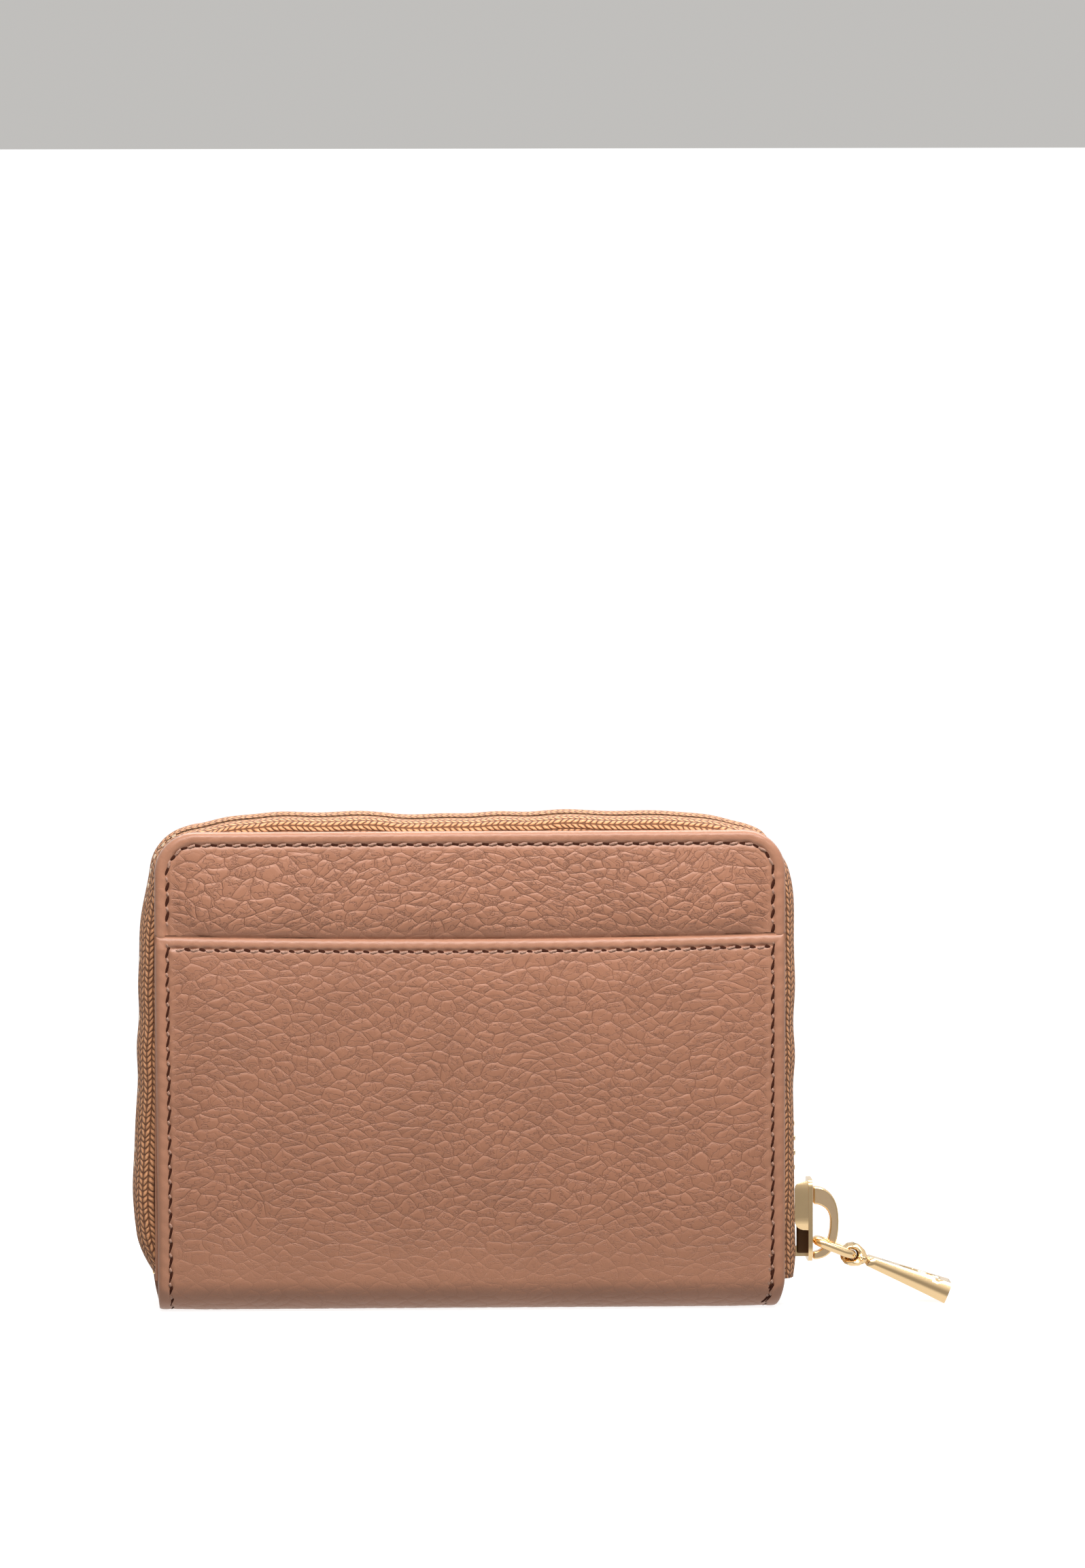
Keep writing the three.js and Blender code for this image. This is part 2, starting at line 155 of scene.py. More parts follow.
def apply_modifiers(obj):
    graph = bpy.context.evaluated_depsgraph_get()
    mesh = bpy.data.meshes.new_from_object(obj.evaluated_get(graph))
    obj.modifiers.clear()
    obj.data = mesh


def bevel(obj, width, segments, angle=30, material=-1):
    """Rounds the sharp edges. material is the new faces' material index, or -1 to match their neighbours."""
    modifier = obj.modifiers.new("bevel", "BEVEL")
    modifier.width = width * MM
    modifier.segments = segments
    modifier.limit_method = "ANGLE"
    modifier.angle_limit = math.radians(angle)
    modifier.material = material
    apply_modifiers(obj)


def place(obj, body, slot, *nodes):
    """Puts a piece on a body and hides the CAD nodes that it stands for. slot is not used."""
    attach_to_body(obj, body)
    if nodes:
        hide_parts(*nodes)


def ease(x):
    """A smooth step from 0 at 0 to 1 at 1."""
    x = np.clip(x, 0, 1)
    return x * x * (3 - 2 * x)


def hump(value, centre, width):
    """A smooth hump, 1 high."""
    return np.exp(-(((value - centre) / width) ** 2))


def grid_faces(rows, columns):
    """Quads of a grid whose vertices are numbered row by row."""
    start = (np.arange(rows - 1)[:, None] * columns + np.arange(columns - 1)[None, :]).ravel()
    return np.stack([start, start + 1, start + columns + 1, start + columns], 1).tolist()


def edge_ring(rows, columns):
    """The numbers of such a grid's edge vertices, once round it."""
    index = np.arange(rows * columns).reshape(rows, columns)
    return np.concatenate([index[0, :], index[1:, -1], index[-1, -2::-1], index[-2:0:-1, 0]])


def tube_faces(rings, sides, closed=False):
    """Quads of a tube whose vertices are numbered ring by ring. A closed tube's last ring joins its first."""
    faces = []
    for i in range(rings if closed else rings - 1):
        after = (i + 1) % rings
        for j in range(sides):
            k = (j + 1) % sides
            faces.append([i * sides + j, i * sides + k, after * sides + k, after * sides + j])
    return faces


def end_faces(rings, sides):
    """The two ends of an open tube."""
    return [list(range(sides)), list(range((rings - 1) * sides, rings * sides))]


def closed_sheet(outer, inner):
    """Closes an outer grid of points (rows, columns, 3) with the edge of an inner one into a solid sheet.

    The back is one face for each row.
    """
    rows, columns, _ = outer.shape
    faces = grid_faces(rows, columns)
    index = np.arange(rows * columns).reshape(rows, columns)
    ring = edge_ring(rows, columns)
    count = len(ring)
    inner_index = {int(outside): rows * columns + i for i, outside in enumerate(ring)}
    for i in range(count):
        a, b = int(ring[i]), int(ring[(i + 1) % count])
        faces.append([b, a, inner_index[a], inner_index[b]])
    edges = (index[:, 0], index[:, -1], index[0, :], index[-1, :])
    left, right, bottom, top = ([inner_index[int(i)] for i in edge] for edge in edges)
    faces.append([left[1], right[1], *bottom[::-1]])
    faces += [[left[i + 1], right[i + 1], right[i], left[i]] for i in range(1, rows - 2)]
    faces.append([*top, right[-2], left[-2]])
    return np.concatenate([outer.reshape(-1, 3), inner.reshape(-1, 3)[ring]]), faces


def spaced(low, high, step, fine_low=True, fine_high=True):
    """Positions from low to high, closer together from a finished edge to past its stitch line."""
    fine = np.array([0, 0.06, 0.16, 0.3, 0.48, 0.7, 0.95, 1.2, 1.45, 1.7, 1.95, 2.15, 2.35, 2.6, 2.85, 3.1])
    first = low + fine if fine_low else np.array([low])
    last = high - fine[::-1] if fine_high else np.array([high])
    middle = np.linspace(first[-1], last[0], max(2, round((last[0] - first[-1]) / step) + 1))
    return np.concatenate([first[:-1], middle, last[1:]])


# ---- procedural materials ----


class Tree:
    """Short calls for making the nodes of a material or a geometry modifier."""

    def __init__(self, tree):
        self.nodes, self.links = tree.nodes, tree.links

    def feed(self, socket, value):
        """Links a socket to another one, or sets it to a plain value."""
        if isinstance(value, bpy.types.NodeSocket):
            self.links.new(value, socket)
        else:
            socket.default_value = value

    def add(self, kind, inputs=None, **settings):
        node = self.nodes.new(kind)
        for key, value in settings.items():
            setattr(node, key, value)
        for key, value in (inputs or {}).items():
            self.feed(node.inputs[key], value)
        return node

    def math(self, operation, a, b=0.0, clamp=False):
        return self.add("ShaderNodeMath", {0: a, 1: b}, operation=operation, use_clamp=clamp).outputs[0]

    def times(self, a, b):
        return self.math("MULTIPLY", a, b)

    def plus(self, a, b):
        return self.math("ADD", a, b)

    def minus(self, a, b):
        return self.math("SUBTRACT", a, b)

    def ridges(self, value, period):
        """Rounded ridges with sharp valleys between, one for each period."""
        return self.math("ABSOLUTE", self.math("SINE", self.times(value, math.pi / period)))

    def vector(self, operation, a, b=(0, 0, 0)):
        return self.add("ShaderNodeVectorMath", {0: a, 1: b}, operation=operation).outputs[0]

    def split(self, vector):
        return self.add("ShaderNodeSeparateXYZ", {0: vector}).outputs

    def read(self, name):
        """A value that set_points stored."""
        return self.add("ShaderNodeAttribute", attribute_name=name, attribute_type="GEOMETRY").outputs

    def place_mm(self):
        """Each point's own place in its object."""
        where = self.add("ShaderNodeTexCoord").outputs["Object"]
        return self.vector("MULTIPLY", where, (1000, 1000, 1000))

    def noise(self, vector, scale, detail=2.0, roughness=0.5):
        inputs = {"Vector": vector, "Scale": scale, "Detail": detail, "Roughness": roughness}
        return self.add("ShaderNodeTexNoise", inputs).outputs

    def cells(self, vector, scale, randomness=1.0, feature="F1", dimensions="2D"):
        inputs = {"Vector": vector, "Scale": scale, "Randomness": randomness}
        node = self.add("ShaderNodeTexVoronoi", inputs, voronoi_dimensions=dimensions, feature=feature)
        return node.outputs

    def ramp(self, value, low, high, to_low=0.0, to_high=1.0):
        inputs = {"Value": value, "From Min": low, "From Max": high, "To Min": to_low, "To Max": to_high}
        return self.add("ShaderNodeMapRange", inputs, interpolation_type="SMOOTHSTEP").outputs[0]

    def mix_color(self, factor, a, b):
        """Mixes two colours. A plain one is a list of red, green and blue."""
        node = self.add("ShaderNodeMix", data_type="RGBA")
        for index, value in ((0, factor), (6, a), (7, b)):
            self.feed(node.inputs[index], [*value, 1] if isinstance(value, list) else value)
        return node.outputs[2]

    def bump(self, height, distance_mm, strength=1.0, normal=None):
        inputs = {"Height": height, "Distance": distance_mm * MM, "Strength": strength}
        if normal is not None:
            inputs["Normal"] = normal
        return self.add("ShaderNodeBump", inputs).outputs[0]

    def shade(self, values):
        """Feeds the material's shader."""
        for name, value in values.items():
            self.feed(self.nodes["Principled BSDF"].inputs[name], value)


def grain(tree, place_mm):
    """Pebbled grain like fish scales: staggered low domes, wider than tall, split by finer creases.

    Each dome stands highest near its upper edge and slopes down to its lower one, and long thin wrinkles
    wander across them. Returns the height of the surface, from 0 in a crease to about 1, the strength of
    the crease lines, and a mask along each dome's upper edge for a painted highlight.
    """
    def moved(vector, scale, x, y):
        shift = tree.vector("SUBTRACT", tree.noise(place_mm, scale, 1.0)[1], (0.5, 0.5, 0.5))
        return tree.vector("ADD", vector, tree.vector("MULTIPLY", shift, (x, y, 0)))

    def scales(vector, width, height, randomness):
        """The distance to the nearest edge between scales, and how far up its own scale a point lies."""
        parts = tree.split(vector)
        across, up = tree.math("DIVIDE", parts[0], width), tree.math("DIVIDE", parts[1], height)
        slanted = {0: tree.plus(across, up), 1: tree.minus(across, up)}
        slanted = tree.add("ShaderNodeCombineXYZ", slanted).outputs[0]
        edge = tree.cells(slanted, 1.0, randomness, "DISTANCE_TO_EDGE")["Distance"]
        centre = tree.cells(slanted, 1.0, randomness)["Position"]
        away = tree.split(tree.vector("SUBTRACT", slanted, centre))
        return edge, tree.times(tree.minus(away[0], away[1]), 0.5)

    place = moved(moved(moved(place_mm, 0.04, 9.0, 12.0), 0.25, 1.9, 1.2), 0.9, 0.45, 0.3)
    edge, above = scales(place, 4.7, 2.7, 0.72)
    split_edge, split_above = scales(place, 2.9, 2.9, 1.0)
    large = tree.times(tree.ramp(edge, 0.0, 0.17), tree.plus(0.75, tree.times(above, 0.65)))
    small = tree.times(tree.ramp(split_edge, 0.0, 0.13), tree.plus(0.8, tree.times(split_above, 0.6)))
    patchy = tree.ramp(tree.noise(place_mm, 0.2, 1.0)[0], 0.38, 0.6, 0.1, 0.6)
    height = tree.plus(tree.times(large, 0.78), tree.times(small, 0.22))
    wave = tree.noise(tree.vector("MULTIPLY", place, (1, 1.7, 1)), 0.42, 3.0, 0.55)[0]
    wave = tree.math("ABSOLUTE", tree.minus(wave, 0.5))
    wrinkle = tree.times(tree.ramp(wave, 0.0, 0.022, 1.0, 0.0), 0.75)
    height = tree.minus(height, tree.times(wrinkle, 0.2))
    line = tree.math("MAXIMUM", tree.ramp(edge, 0.0, 0.04, 1.0, 0.0), wrinkle)
    split_line = tree.times(tree.ramp(split_edge, 0.0, 0.035, 1.0, 0.0), patchy)
    # A mask along each dome's upper edge, and along the finer creases' too, where the colour gets a painted
    # highlight as if lit from above.
    rim = tree.times(tree.ramp(edge, 0.02, 0.05), tree.ramp(edge, 0.06, 0.13, 1.0, 0.0))
    rim = tree.times(rim, tree.ramp(above, -0.05, 0.3))
    split_rim = tree.times(tree.ramp(split_edge, 0.05, 0.1, 1.0, 0.0), tree.ramp(split_above, 0.0, 0.3))
    split_rim = tree.times(split_rim, patchy)
    return height, tree.math("MAXIMUM", line, split_line), tree.math("MAXIMUM", rim, split_rim)


def new_material(name):
    material = bpy.data.materials.new(name)
    material.use_nodes = True
    return material, Tree(material.node_tree)


def leather_material(name, color, dark, bright, roughness=0.46):
    """Reads "flat", each point's place on the flat leather, and "grain", how strong its grain is."""
    material, tree = new_material(name)
    flat = tree.read("flat")["Vector"]
    depth = tree.read("grain")["Fac"]
    dome, lines, rim_highlights = grain(tree, flat)
    # The upper edge of each dome is painted lighter below, a painted highlight for the light from above.
    lines, rim_highlights = tree.times(lines, depth), tree.times(rim_highlights, depth)
    # Where the grain fades, along the turned edges, the lip and round the foot, the colour is painted lighter
    # below: painted light for the light that the smooth rounded leather catches.
    turned_edge_light = tree.math("SUBTRACT", 1.0, depth, clamp=True)
    broad = tree.ramp(tree.noise(flat, 0.06, 3.0)[0], 0.3, 0.7)
    fine = tree.noise(flat, 2.6, 3.0, 0.6)[0]
    base = tree.mix_color(broad, [c * 0.95 for c in color], [min(1, c * 1.05) for c in color])
    # The crease lines are painted darker, painted shade in the creases; the fine mottle is the leather's own
    # uneven tone.
    for where, amount, tint in (
            (fine, 0.18, dark), (lines, 0.46, dark), (rim_highlights, 0.1, bright), (turned_edge_light, 0.14, bright)):
        base = tree.mix_color(tree.times(where, amount), base, tint)
    pores = tree.ramp(tree.cells(flat, 3.4)["Distance"], 0.1, 0.45)
    normal = tree.bump(tree.noise(flat, 5.5, 3.0, 0.65)[0], 0.02, 0.35)
    normal = tree.bump(pores, 0.012, 0.5, normal)
    normal = tree.bump(tree.minus(1.0, lines), 0.045, 1.0, normal)
    normal = tree.bump(tree.times(dome, depth), 0.055, 1.0, normal)
    rough = tree.plus(tree.times(fine, 0.14), roughness - 0.17)
    rough = tree.plus(tree.plus(rough, tree.times(depth, 0.1)), tree.times(lines, 0.15))
    tree.shade({"Base Color": base, "Normal": normal, "Roughness": rough, "Specular IOR Level": 0.45,
                "Sheen Weight": 0.06, "Sheen Roughness": 0.4})
    return material


def smooth_leather_material(name, color, dark, roughness=0.55, specular=0.5):
    """Fine-grained inner leather."""
    material, tree = new_material(name)
    where = tree.place_mm()
    edge = tree.cells(where, 1.7, feature="DISTANCE_TO_EDGE", dimensions="3D")["Distance"]
    line = tree.ramp(edge, 0.0, 0.09, 1.0, 0.0)
    broad = tree.ramp(tree.noise(where, 0.08, 2.0)[0], 0.3, 0.7)
    base = tree.mix_color(broad, [c * 0.93 for c in color], color)
    # The crease lines are painted darker, painted shade in the creases.
    base = tree.mix_color(tree.times(line, 0.35), base, dark)
    normal = tree.bump(tree.minus(1.0, line), 0.03, 0.7)
    normal = tree.bump(tree.noise(where, 4.0, 3.0)[0], 0.02, 0.4, normal)
    tree.shade({"Base Color": base, "Normal": normal, "Roughness": roughness, "Specular IOR Level": specular})
    return material


def tape_material(name, color, dark, bright):
    """Knitted zip tape. Reads "weave": the distance along the tape and across it."""
    material, tree = new_material(name)
    weave = tree.read("weave")["Vector"]
    parts = tree.split(weave)
    row, strand_length = 0.68, 1.05
    along = tree.plus(parts[0], tree.times(tree.noise(weave, 0.9, 2.0)[0], 0.8))
    lean = tree.math("PINGPONG", tree.math("DIVIDE", parts[1], row), 1.0)
    strand = tree.ridges(tree.plus(tree.math("DIVIDE", along, strand_length), tree.times(lean, 0.8)), 1.0)
    ridge = tree.ridges(parts[1], row)
    height = tree.times(tree.math("POWER", strand, 0.6), tree.math("POWER", ridge, 0.5))
    fibre = tree.noise(weave, 7.0, 3.0, 0.7)[0]
    # Painted light: the hollows between strands are painted dark as painted shade, and the highest strand
    # tops get a painted glint; the fibre noise adds random tone to both.
    raised = tree.times(tree.ramp(height, 0.25, 0.9), tree.ramp(fibre, 0.2, 0.55, 0.6, 1.0))
    glint = tree.times(tree.ramp(height, 0.75, 1.0), tree.ramp(fibre, 0.5, 0.7))
    base = tree.mix_color(glint, tree.mix_color(raised, dark, color), bright)
    normal = tree.bump(height, 0.34, 1.0, tree.bump(fibre, 0.05, 0.6))
    tree.shade({"Base Color": base, "Normal": normal, "Roughness": 0.6, "Specular IOR Level": 0.3,
                "Sheen Weight": 0.1})
    return material


def cloth_material(name, color, dark):
    """Fine twill lining."""
    material, tree = new_material(name)
    parts = tree.split(tree.place_mm())
    rib = tree.ridges(tree.plus(parts[0], tree.plus(parts[1], parts[2])), 0.7)
    height = tree.plus(tree.times(rib, 0.7), tree.times(tree.ridges(parts[0], 0.35), 0.3))
    # The twill's hollows are painted darker, as painted shade between the ribs.
    base = tree.mix_color(tree.ramp(height, 0.1, 0.8), dark, color)
    normal = tree.bump(height, 0.06, 0.8)
    tree.shade({"Base Color": base, "Normal": normal, "Roughness": 0.8, "Sheen Weight": 0.25})
    return material


def thread_material(name, color, dark):
    """Twisted sewing thread."""
    material, tree = new_material(name)
    fibre = tree.noise(tree.place_mm(), 9.0, 3.0, 0.7)[0]
    base = tree.mix_color(tree.ramp(fibre, 0.35, 0.65), dark, color)
    normal = tree.bump(fibre, 0.04, 0.7)
    tree.shade({"Base Color": base, "Normal": normal, "Roughness": 0.5, "Sheen Weight": 0.3})
    return material


def metal_material(name, color, roughness, satin=0.0):
    """Plated metal with a faintly uneven polish. satin, from 0 to 1, is how sanded it looks."""
    material, tree = new_material(name)
    where = tree.place_mm()
    cloud = tree.noise(where, 0.6, 3.0)[0]
    base = tree.mix_color(cloud, [c * 0.96 for c in color], color)
    rough = tree.plus(tree.times(cloud, 0.08), roughness - 0.04)
    normal = tree.bump(tree.noise(where, 14.0, 2.0)[0], 0.004 + 0.01 * satin, 0.3 + 0.5 * satin)
    tree.shade({"Base Color": base, "Normal": normal, "Roughness": rough, "Metallic": 1.0})
    return material


def board_material(name, color, dark):
    """Pressed grey-brown board."""
    material, tree = new_material(name)
    fibre = tree.noise(tree.place_mm(), 1.2, 5.0, 0.7)[0]
    base = tree.mix_color(fibre, dark, color)
    tree.shade({"Base Color": base, "Normal": tree.bump(fibre, 0.05, 0.5), "Roughness": 0.9})
    return material


outer_leather = leather_material(
    "outer_leather", [0.415, 0.186, 0.108], [0.15, 0.055, 0.033], [0.68, 0.38, 0.25])
inner_leather = smooth_leather_material("inner_leather", [0.36, 0.17, 0.11], [0.16, 0.065, 0.04])
# The needle holes are small dark beads: painted shade for the shadow inside each hole.
hole_shade = smooth_leather_material("needle_hole_shade", [0.06, 0.018, 0.01], [0.03, 0.01, 0.006], 0.9, 0.1)
zip_tape = tape_material("zip_tape", [0.83, 0.39, 0.185], [0.22, 0.085, 0.038], [1.0, 0.72, 0.45])
lining_cloth = cloth_material("lining", [0.42, 0.29, 0.19], [0.22, 0.14, 0.09])
thread = thread_material("thread", [0.52, 0.30, 0.21], [0.24, 0.11, 0.07])
gold = metal_material("polished_gold", [0.95, 0.69, 0.39], 0.17)
# A dark metal for a block inside the slider: painted shade for the shadow in its enclosed channel.
channel_shade_metal = metal_material("painted_shade_channel", [0.13, 0.07, 0.035], 0.55)
satin_gold = metal_material("satin_gold", [0.88, 0.64, 0.4], 0.3, satin=1.0)
board = board_material("board", [0.5, 0.44, 0.36], [0.34, 0.29, 0.23])


# ---- leather relief ----


def edge_relief(distance, phase):
    """Height of a turned and stitched edge against the flat leather, from its distance to the edge.

    phase is the place along the stitch line, in stitches.
    """
    round_off, turned_rise, groove_width = 0.8, 0.2, 0.36
    inside = np.clip((round_off - distance) / round_off, 0, 1)
    height = -round_off * (1 - np.sqrt(1 - inside**2))
    height += turned_rise * np.sin(np.pi * np.clip(distance / STITCH_INSET, 0, 1))
    pull = 0.5 + 0.5 * np.cos(2 * np.pi * phase)
    height -= hump(distance, STITCH_INSET, groove_width) * (0.2 + 0.2 * (1 - pull))
    slanted = 0.5 * np.cos(2 * np.pi * (phase + 0.2 * (distance - STITCH_INSET)))
    # each stitch puckers the leather a little on both sides of the line
    puckers = 0.08 * hump(distance, STITCH_INSET - 0.95, 0.8) + 0.06 * hump(distance, STITCH_INSET + 0.8, 0.7)
    return height + puckers * slanted


def puff(distance, amount, reach=9.0):
    """Padding that rises from the stitch line inwards."""
    return amount * ease((distance - STITCH_INSET) / reach) ** 0.8


def grain_strength(distance):
    """Turned edges are nearly smooth, the panel is fully pebbled."""
    return 0.12 + 0.88 * ease((distance - STITCH_INSET - 0.2) / 1.6)


def flat_grid(half_width, low, high, top_radius=0.0, bottom_radius=0.0, step=0.34, edges=(True, True)):
    """Places on a flat sheet, in rows from low to high, and each one's distance to the finished outline.

    A square corner is drawn in to a round one. edges says whether the low and the high end are finished.
    """
    columns = spaced(-half_width, half_width, step)
    rows = spaced(low, high, step, fine_low=edges[0], fine_high=edges[1])
    v, x = np.meshgrid(rows, columns, indexing="ij")
    distance = half_width - np.abs(x)
    if edges[0]:
        distance = np.minimum(distance, v - low)
    if edges[1]:
        distance = np.minimum(distance, high - v)
    for radius, edge, sign in ((top_radius, high, 1), (bottom_radius, low, -1)):
        if not radius:
            continue
        across = (np.abs(x) - (half_width - radius)) / radius
        up = sign * (v - edge) / radius + 1
        corner = (across > 0) & (up > 0)
        reach = np.maximum(across, up)
        length = np.maximum(np.hypot(across, up), 1e-9)
        new_x = np.sign(x) * (half_width - radius + radius * reach * across / length)
        new_v = edge + sign * radius * (reach * up / length - 1)
        x, v = np.where(corner, new_x, x), np.where(corner, new_v, v)
        distance = np.where(corner, radius * (1 - reach), distance)
    return x, v, distance


def stitch_phase(x, v, distance):
    """Place along the stitch line in stitches, for the small wrinkles that each stitch pulls."""
    beside = (HALF_WIDTH - np.abs(x)) <= distance + 1e-6
    return np.where(beside, v, x) / STITCH_PITCH


def displace_grain(obj, height):
    """Raises the grain's domes in the mesh itself, with the same pattern as the material."""
    group = bpy.data.node_groups.new("raise_grain", "GeometryNodeTree")
    for direction in ("INPUT", "OUTPUT"):
        group.interface.new_socket("Geometry", in_out=direction, socket_type="NodeSocketGeometry")
    tree = Tree(group)
    source = tree.add("NodeGroupInput")
    target = tree.add("NodeGroupOutput")
    flat = tree.add("GeometryNodeInputNamedAttribute", {"Name": "flat"}, data_type="FLOAT_VECTOR")
    depth = tree.add("GeometryNodeInputNamedAttribute", {"Name": "grain"}, data_type="FLOAT")
    dome = grain(tree, flat.outputs["Attribute"])[0]
    lift = tree.math("MULTIPLY", tree.math("SUBTRACT", dome, 0.7), depth.outputs["Attribute"])
    lift = tree.math("MULTIPLY", lift, height * MM)
    normal = tree.add("GeometryNodeInputNormal").outputs[0]
    offset = tree.add("ShaderNodeVectorMath", {0: normal}, operation="SCALE")
    tree.links.new(lift, offset.inputs["Scale"])
    move = tree.add("GeometryNodeSetPosition", {"Geometry": source.outputs[0], "Offset": offset.outputs[0]})
    tree.links.new(move.outputs[0], target.inputs[0])
    modifier = obj.modifiers.new("grain", "NODES")
    modifier.node_group = group
    apply_modifiers(obj)


GRAIN_HEIGHT = 0.17


def grained_sheet(name, outer, inner, flat_v, strength):
    """Leather from two grids of places, its outer and its inner face."""
    obj = make_object(name, *closed_sheet(outer, inner), outer_leather)
    ring = edge_ring(*flat_v.shape)
    flat = np.stack([outer[..., 0], flat_v, np.zeros_like(flat_v)], -1).reshape(-1, 3)
    set_points(obj, "flat", np.concatenate([flat, flat[ring]]))
    set_points(obj, "grain", np.concatenate([strength.ravel(), np.zeros(len(ring))]))
    displace_grain(obj, GRAIN_HEIGHT)
    return obj


# ---- the outer leather: down the pocket side, round the foot, along the spine, up the front ----

WALL = LIP_Z - BEND
QUARTER = math.pi * BEND / 2
SPINE = (FRONT_Y - BEND) - (BACK_Y + BEND)
FRONT_START = WALL + QUARTER + SPINE + QUARTER
SEAM = FRONT_START - QUARTER / 2          # where the leather is parted, in the middle of the front bend
FRONT_TOP = FRONT_START + TOP_Z - BEND
UPPER_BACK_Y = BACK_Y + 0.5               # the panel above the pocket lies half a millimetre further in
SAG = 0.8                                 # how far the pocket's lip hangs down in the middle
LIP_SWELL = 0.25                          # and how far it stands out there
LIP_REACH = 13                            # how far below the lip both end
FOOT_SINK = 0.12                          # how far the leather lies in along the spine


def shell_profile(s):
    """Outer (y, z) and outward normal at a distance s along the leather from the pocket's lip."""
    back_turn = np.clip((s - WALL) / BEND, 0, np.pi / 2)
    front_turn = np.clip((s - WALL - QUARTER - SPINE) / BEND, 0, np.pi / 2)
    angle = back_turn + front_turn
    along_spine = np.clip(s - WALL - QUARTER, 0, SPINE)
    down = np.minimum(s, WALL)
    up = np.maximum(s - FRONT_START, 0)
    y = BACK_Y + BEND - BEND * np.cos(back_turn) + along_spine + BEND * np.sin(front_turn)
    z = LIP_Z - down - BEND * np.sin(back_turn) + BEND * (1 - np.cos(front_turn)) + up
    return y, z, -np.cos(angle), -np.sin(angle)


def shell_points(x, s, height):
    """Places on the shell. Its sides come in a little round the foot, and lean in down the left edge."""
    y, z, normal_y, normal_z = shell_profile(s)
    at_side = ease((np.abs(x) - HALF_WIDTH + 12) / 11)
    foot = ease((s - WALL) / QUARTER) * (1 - ease((s - FRONT_START + QUARTER) / QUARTER))
    lean = 0.45 * ease(s / WALL) * (s < FRONT_START - QUARTER) * (x < 0) * (1 - foot)
    pull = np.where(x < 0, 0.8, 1.3)
    x = x + at_side * (lean - np.sign(x) * pull * foot)
    return np.stack([x + 0 * y, y + normal_y * height, z + normal_z * height], -1)


def blend_foot_back(obj):
    """Bakes the transform of a piece between the back half and the middle, across the spine's front end."""
    end = (0, float(shell_profile(SEAM)[0]) * MM, 0)
    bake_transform(obj)


def blend_foot_front(obj):
    """Bakes the transform of a piece between the middle and the front half, just above the spine."""
    seam_z = float(shell_profile(SEAM)[1])
    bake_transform(obj)


def foot_lift(s):
    """Keeps the leather's relief off the surface that the spine stands on."""
    return 1 - ease((s - WALL) / BEND) * (1 - ease((s - FRONT_START + 2) / BEND))


def flatten_foot(relief, s, most):
    """The same relief, lower round the foot and never higher than most."""
    relief = relief * (0.3 + 0.7 * foot_lift(s)) - FOOT_SINK * (1 - foot_lift(s))
    return np.minimum(relief, most * foot_lift(s))


def pocket_leather():
    """The slip pocket, the foot and the spine, up to the middle of the front bend."""
    x, v, distance = flat_grid(HALF_WIDTH, -SEAM, 0, edges=(False, True))
    s = -v
    relief = edge_relief(distance, stitch_phase(x, v, distance))
    bow = 1 - (x / HALF_WIDTH) ** 2
    near_lip = ease(1 - s / LIP_REACH)
    bulge = 0.4 * np.sin(np.pi * np.clip(s / WALL, 0, 1)) ** 1.5 * ease((HALF_WIDTH - np.abs(x)) / 25)
    relief = relief + puff(distance, 0.5) + LIP_SWELL * near_lip * bow + bulge
    relief = relief - 0.45 * np.clip(1 - s / 2.4, 0, 1)      # the turned lip leans in
    relief = flatten_foot(relief, s, 0.6)
    outer = shell_points(x, s, relief)
    outer[..., 2] -= SAG * bow * near_lip
    inner = shell_points(x, s, -LEATHER * (0.5 + 0.5 * ease((s - 1) / 3)))
    inner[..., 2] -= SAG * bow * near_lip
    strength = grain_strength(distance) * (0.35 + 0.65 * ease((WALL + 1 - s) / 15))
    obj = grained_sheet("slip_pocket_and_spine", outer, inner, v, strength)
    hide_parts("pocket_and_spine_leather")
    blend_foot_back(obj)


def back_panel():
    """The wall behind the slip pocket. It is padded out where it shows above the lip."""
    low = panel_low.z
    x, z, distance = flat_grid(HALF_WIDTH, low, TOP_Z, top_radius=CORNER)
    lip_z = LIP_Z - SAG * (1 - (x / HALF_WIDTH) ** 2)
    shown = ease((z - lip_z + 1.2) / 0.9)
    behind_y = panel_low.y - 0.25 * ease((z - lip_z + 8) / 6)
    border_y = behind_y + (UPPER_BACK_Y - behind_y) * shown
    relief = edge_relief(distance, stitch_phase(x, z, distance)) * shown
    above = np.clip((z - lip_z) / (TOP_Z - STITCH_INSET - lip_z), 0, 1)
    side = ease((HALF_WIDTH - np.abs(x) - STITCH_INSET) / 6)
    swell = 1.0 * np.sin(np.pi * above ** 0.55) - 0.12 * (1 - above) ** 4
    relief = relief + side * swell * shown
    outer = np.stack([x, border_y - relief, z], -1)
    inner = np.stack([x, np.full_like(x, panel_high.y), z], -1)
    strength = 1.3 * grain_strength(distance) * shown * (0.3 + 0.7 * ease((z - lip_z - 0.2) / 2))
    own_grain = z + 30                                       # another part of the same grain pattern
    obj = grained_sheet("back_panel", outer, inner, own_grain, strength)
    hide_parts("back_panel_leather")
    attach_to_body(obj, "back_half")


def front_panel():
    """The plain front cover, from the seam in the foot up."""
    x, s, distance = flat_grid(HALF_WIDTH, SEAM, FRONT_TOP, top_radius=FRONT_CORNER, edges=(False, True))
    relief = edge_relief(distance, stitch_phase(x, s, distance)) + puff(distance, 0.55)
    relief = flatten_foot(relief, s, 0.7)
    outer = shell_points(x, s, relief)
    lined = FRONT_Y - front_low.y
    thickness = LEATHER + (lined - LEATHER) * ease((s - FRONT_START) / 6)
    inner = shell_points(x, s, -thickness)
    obj = grained_sheet("front_cover", outer, inner, s, grain_strength(distance))
    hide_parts("front_leather")
    blend_foot_front(obj)


pocket_leather()
back_panel()
front_panel()


# ---- stitching ----


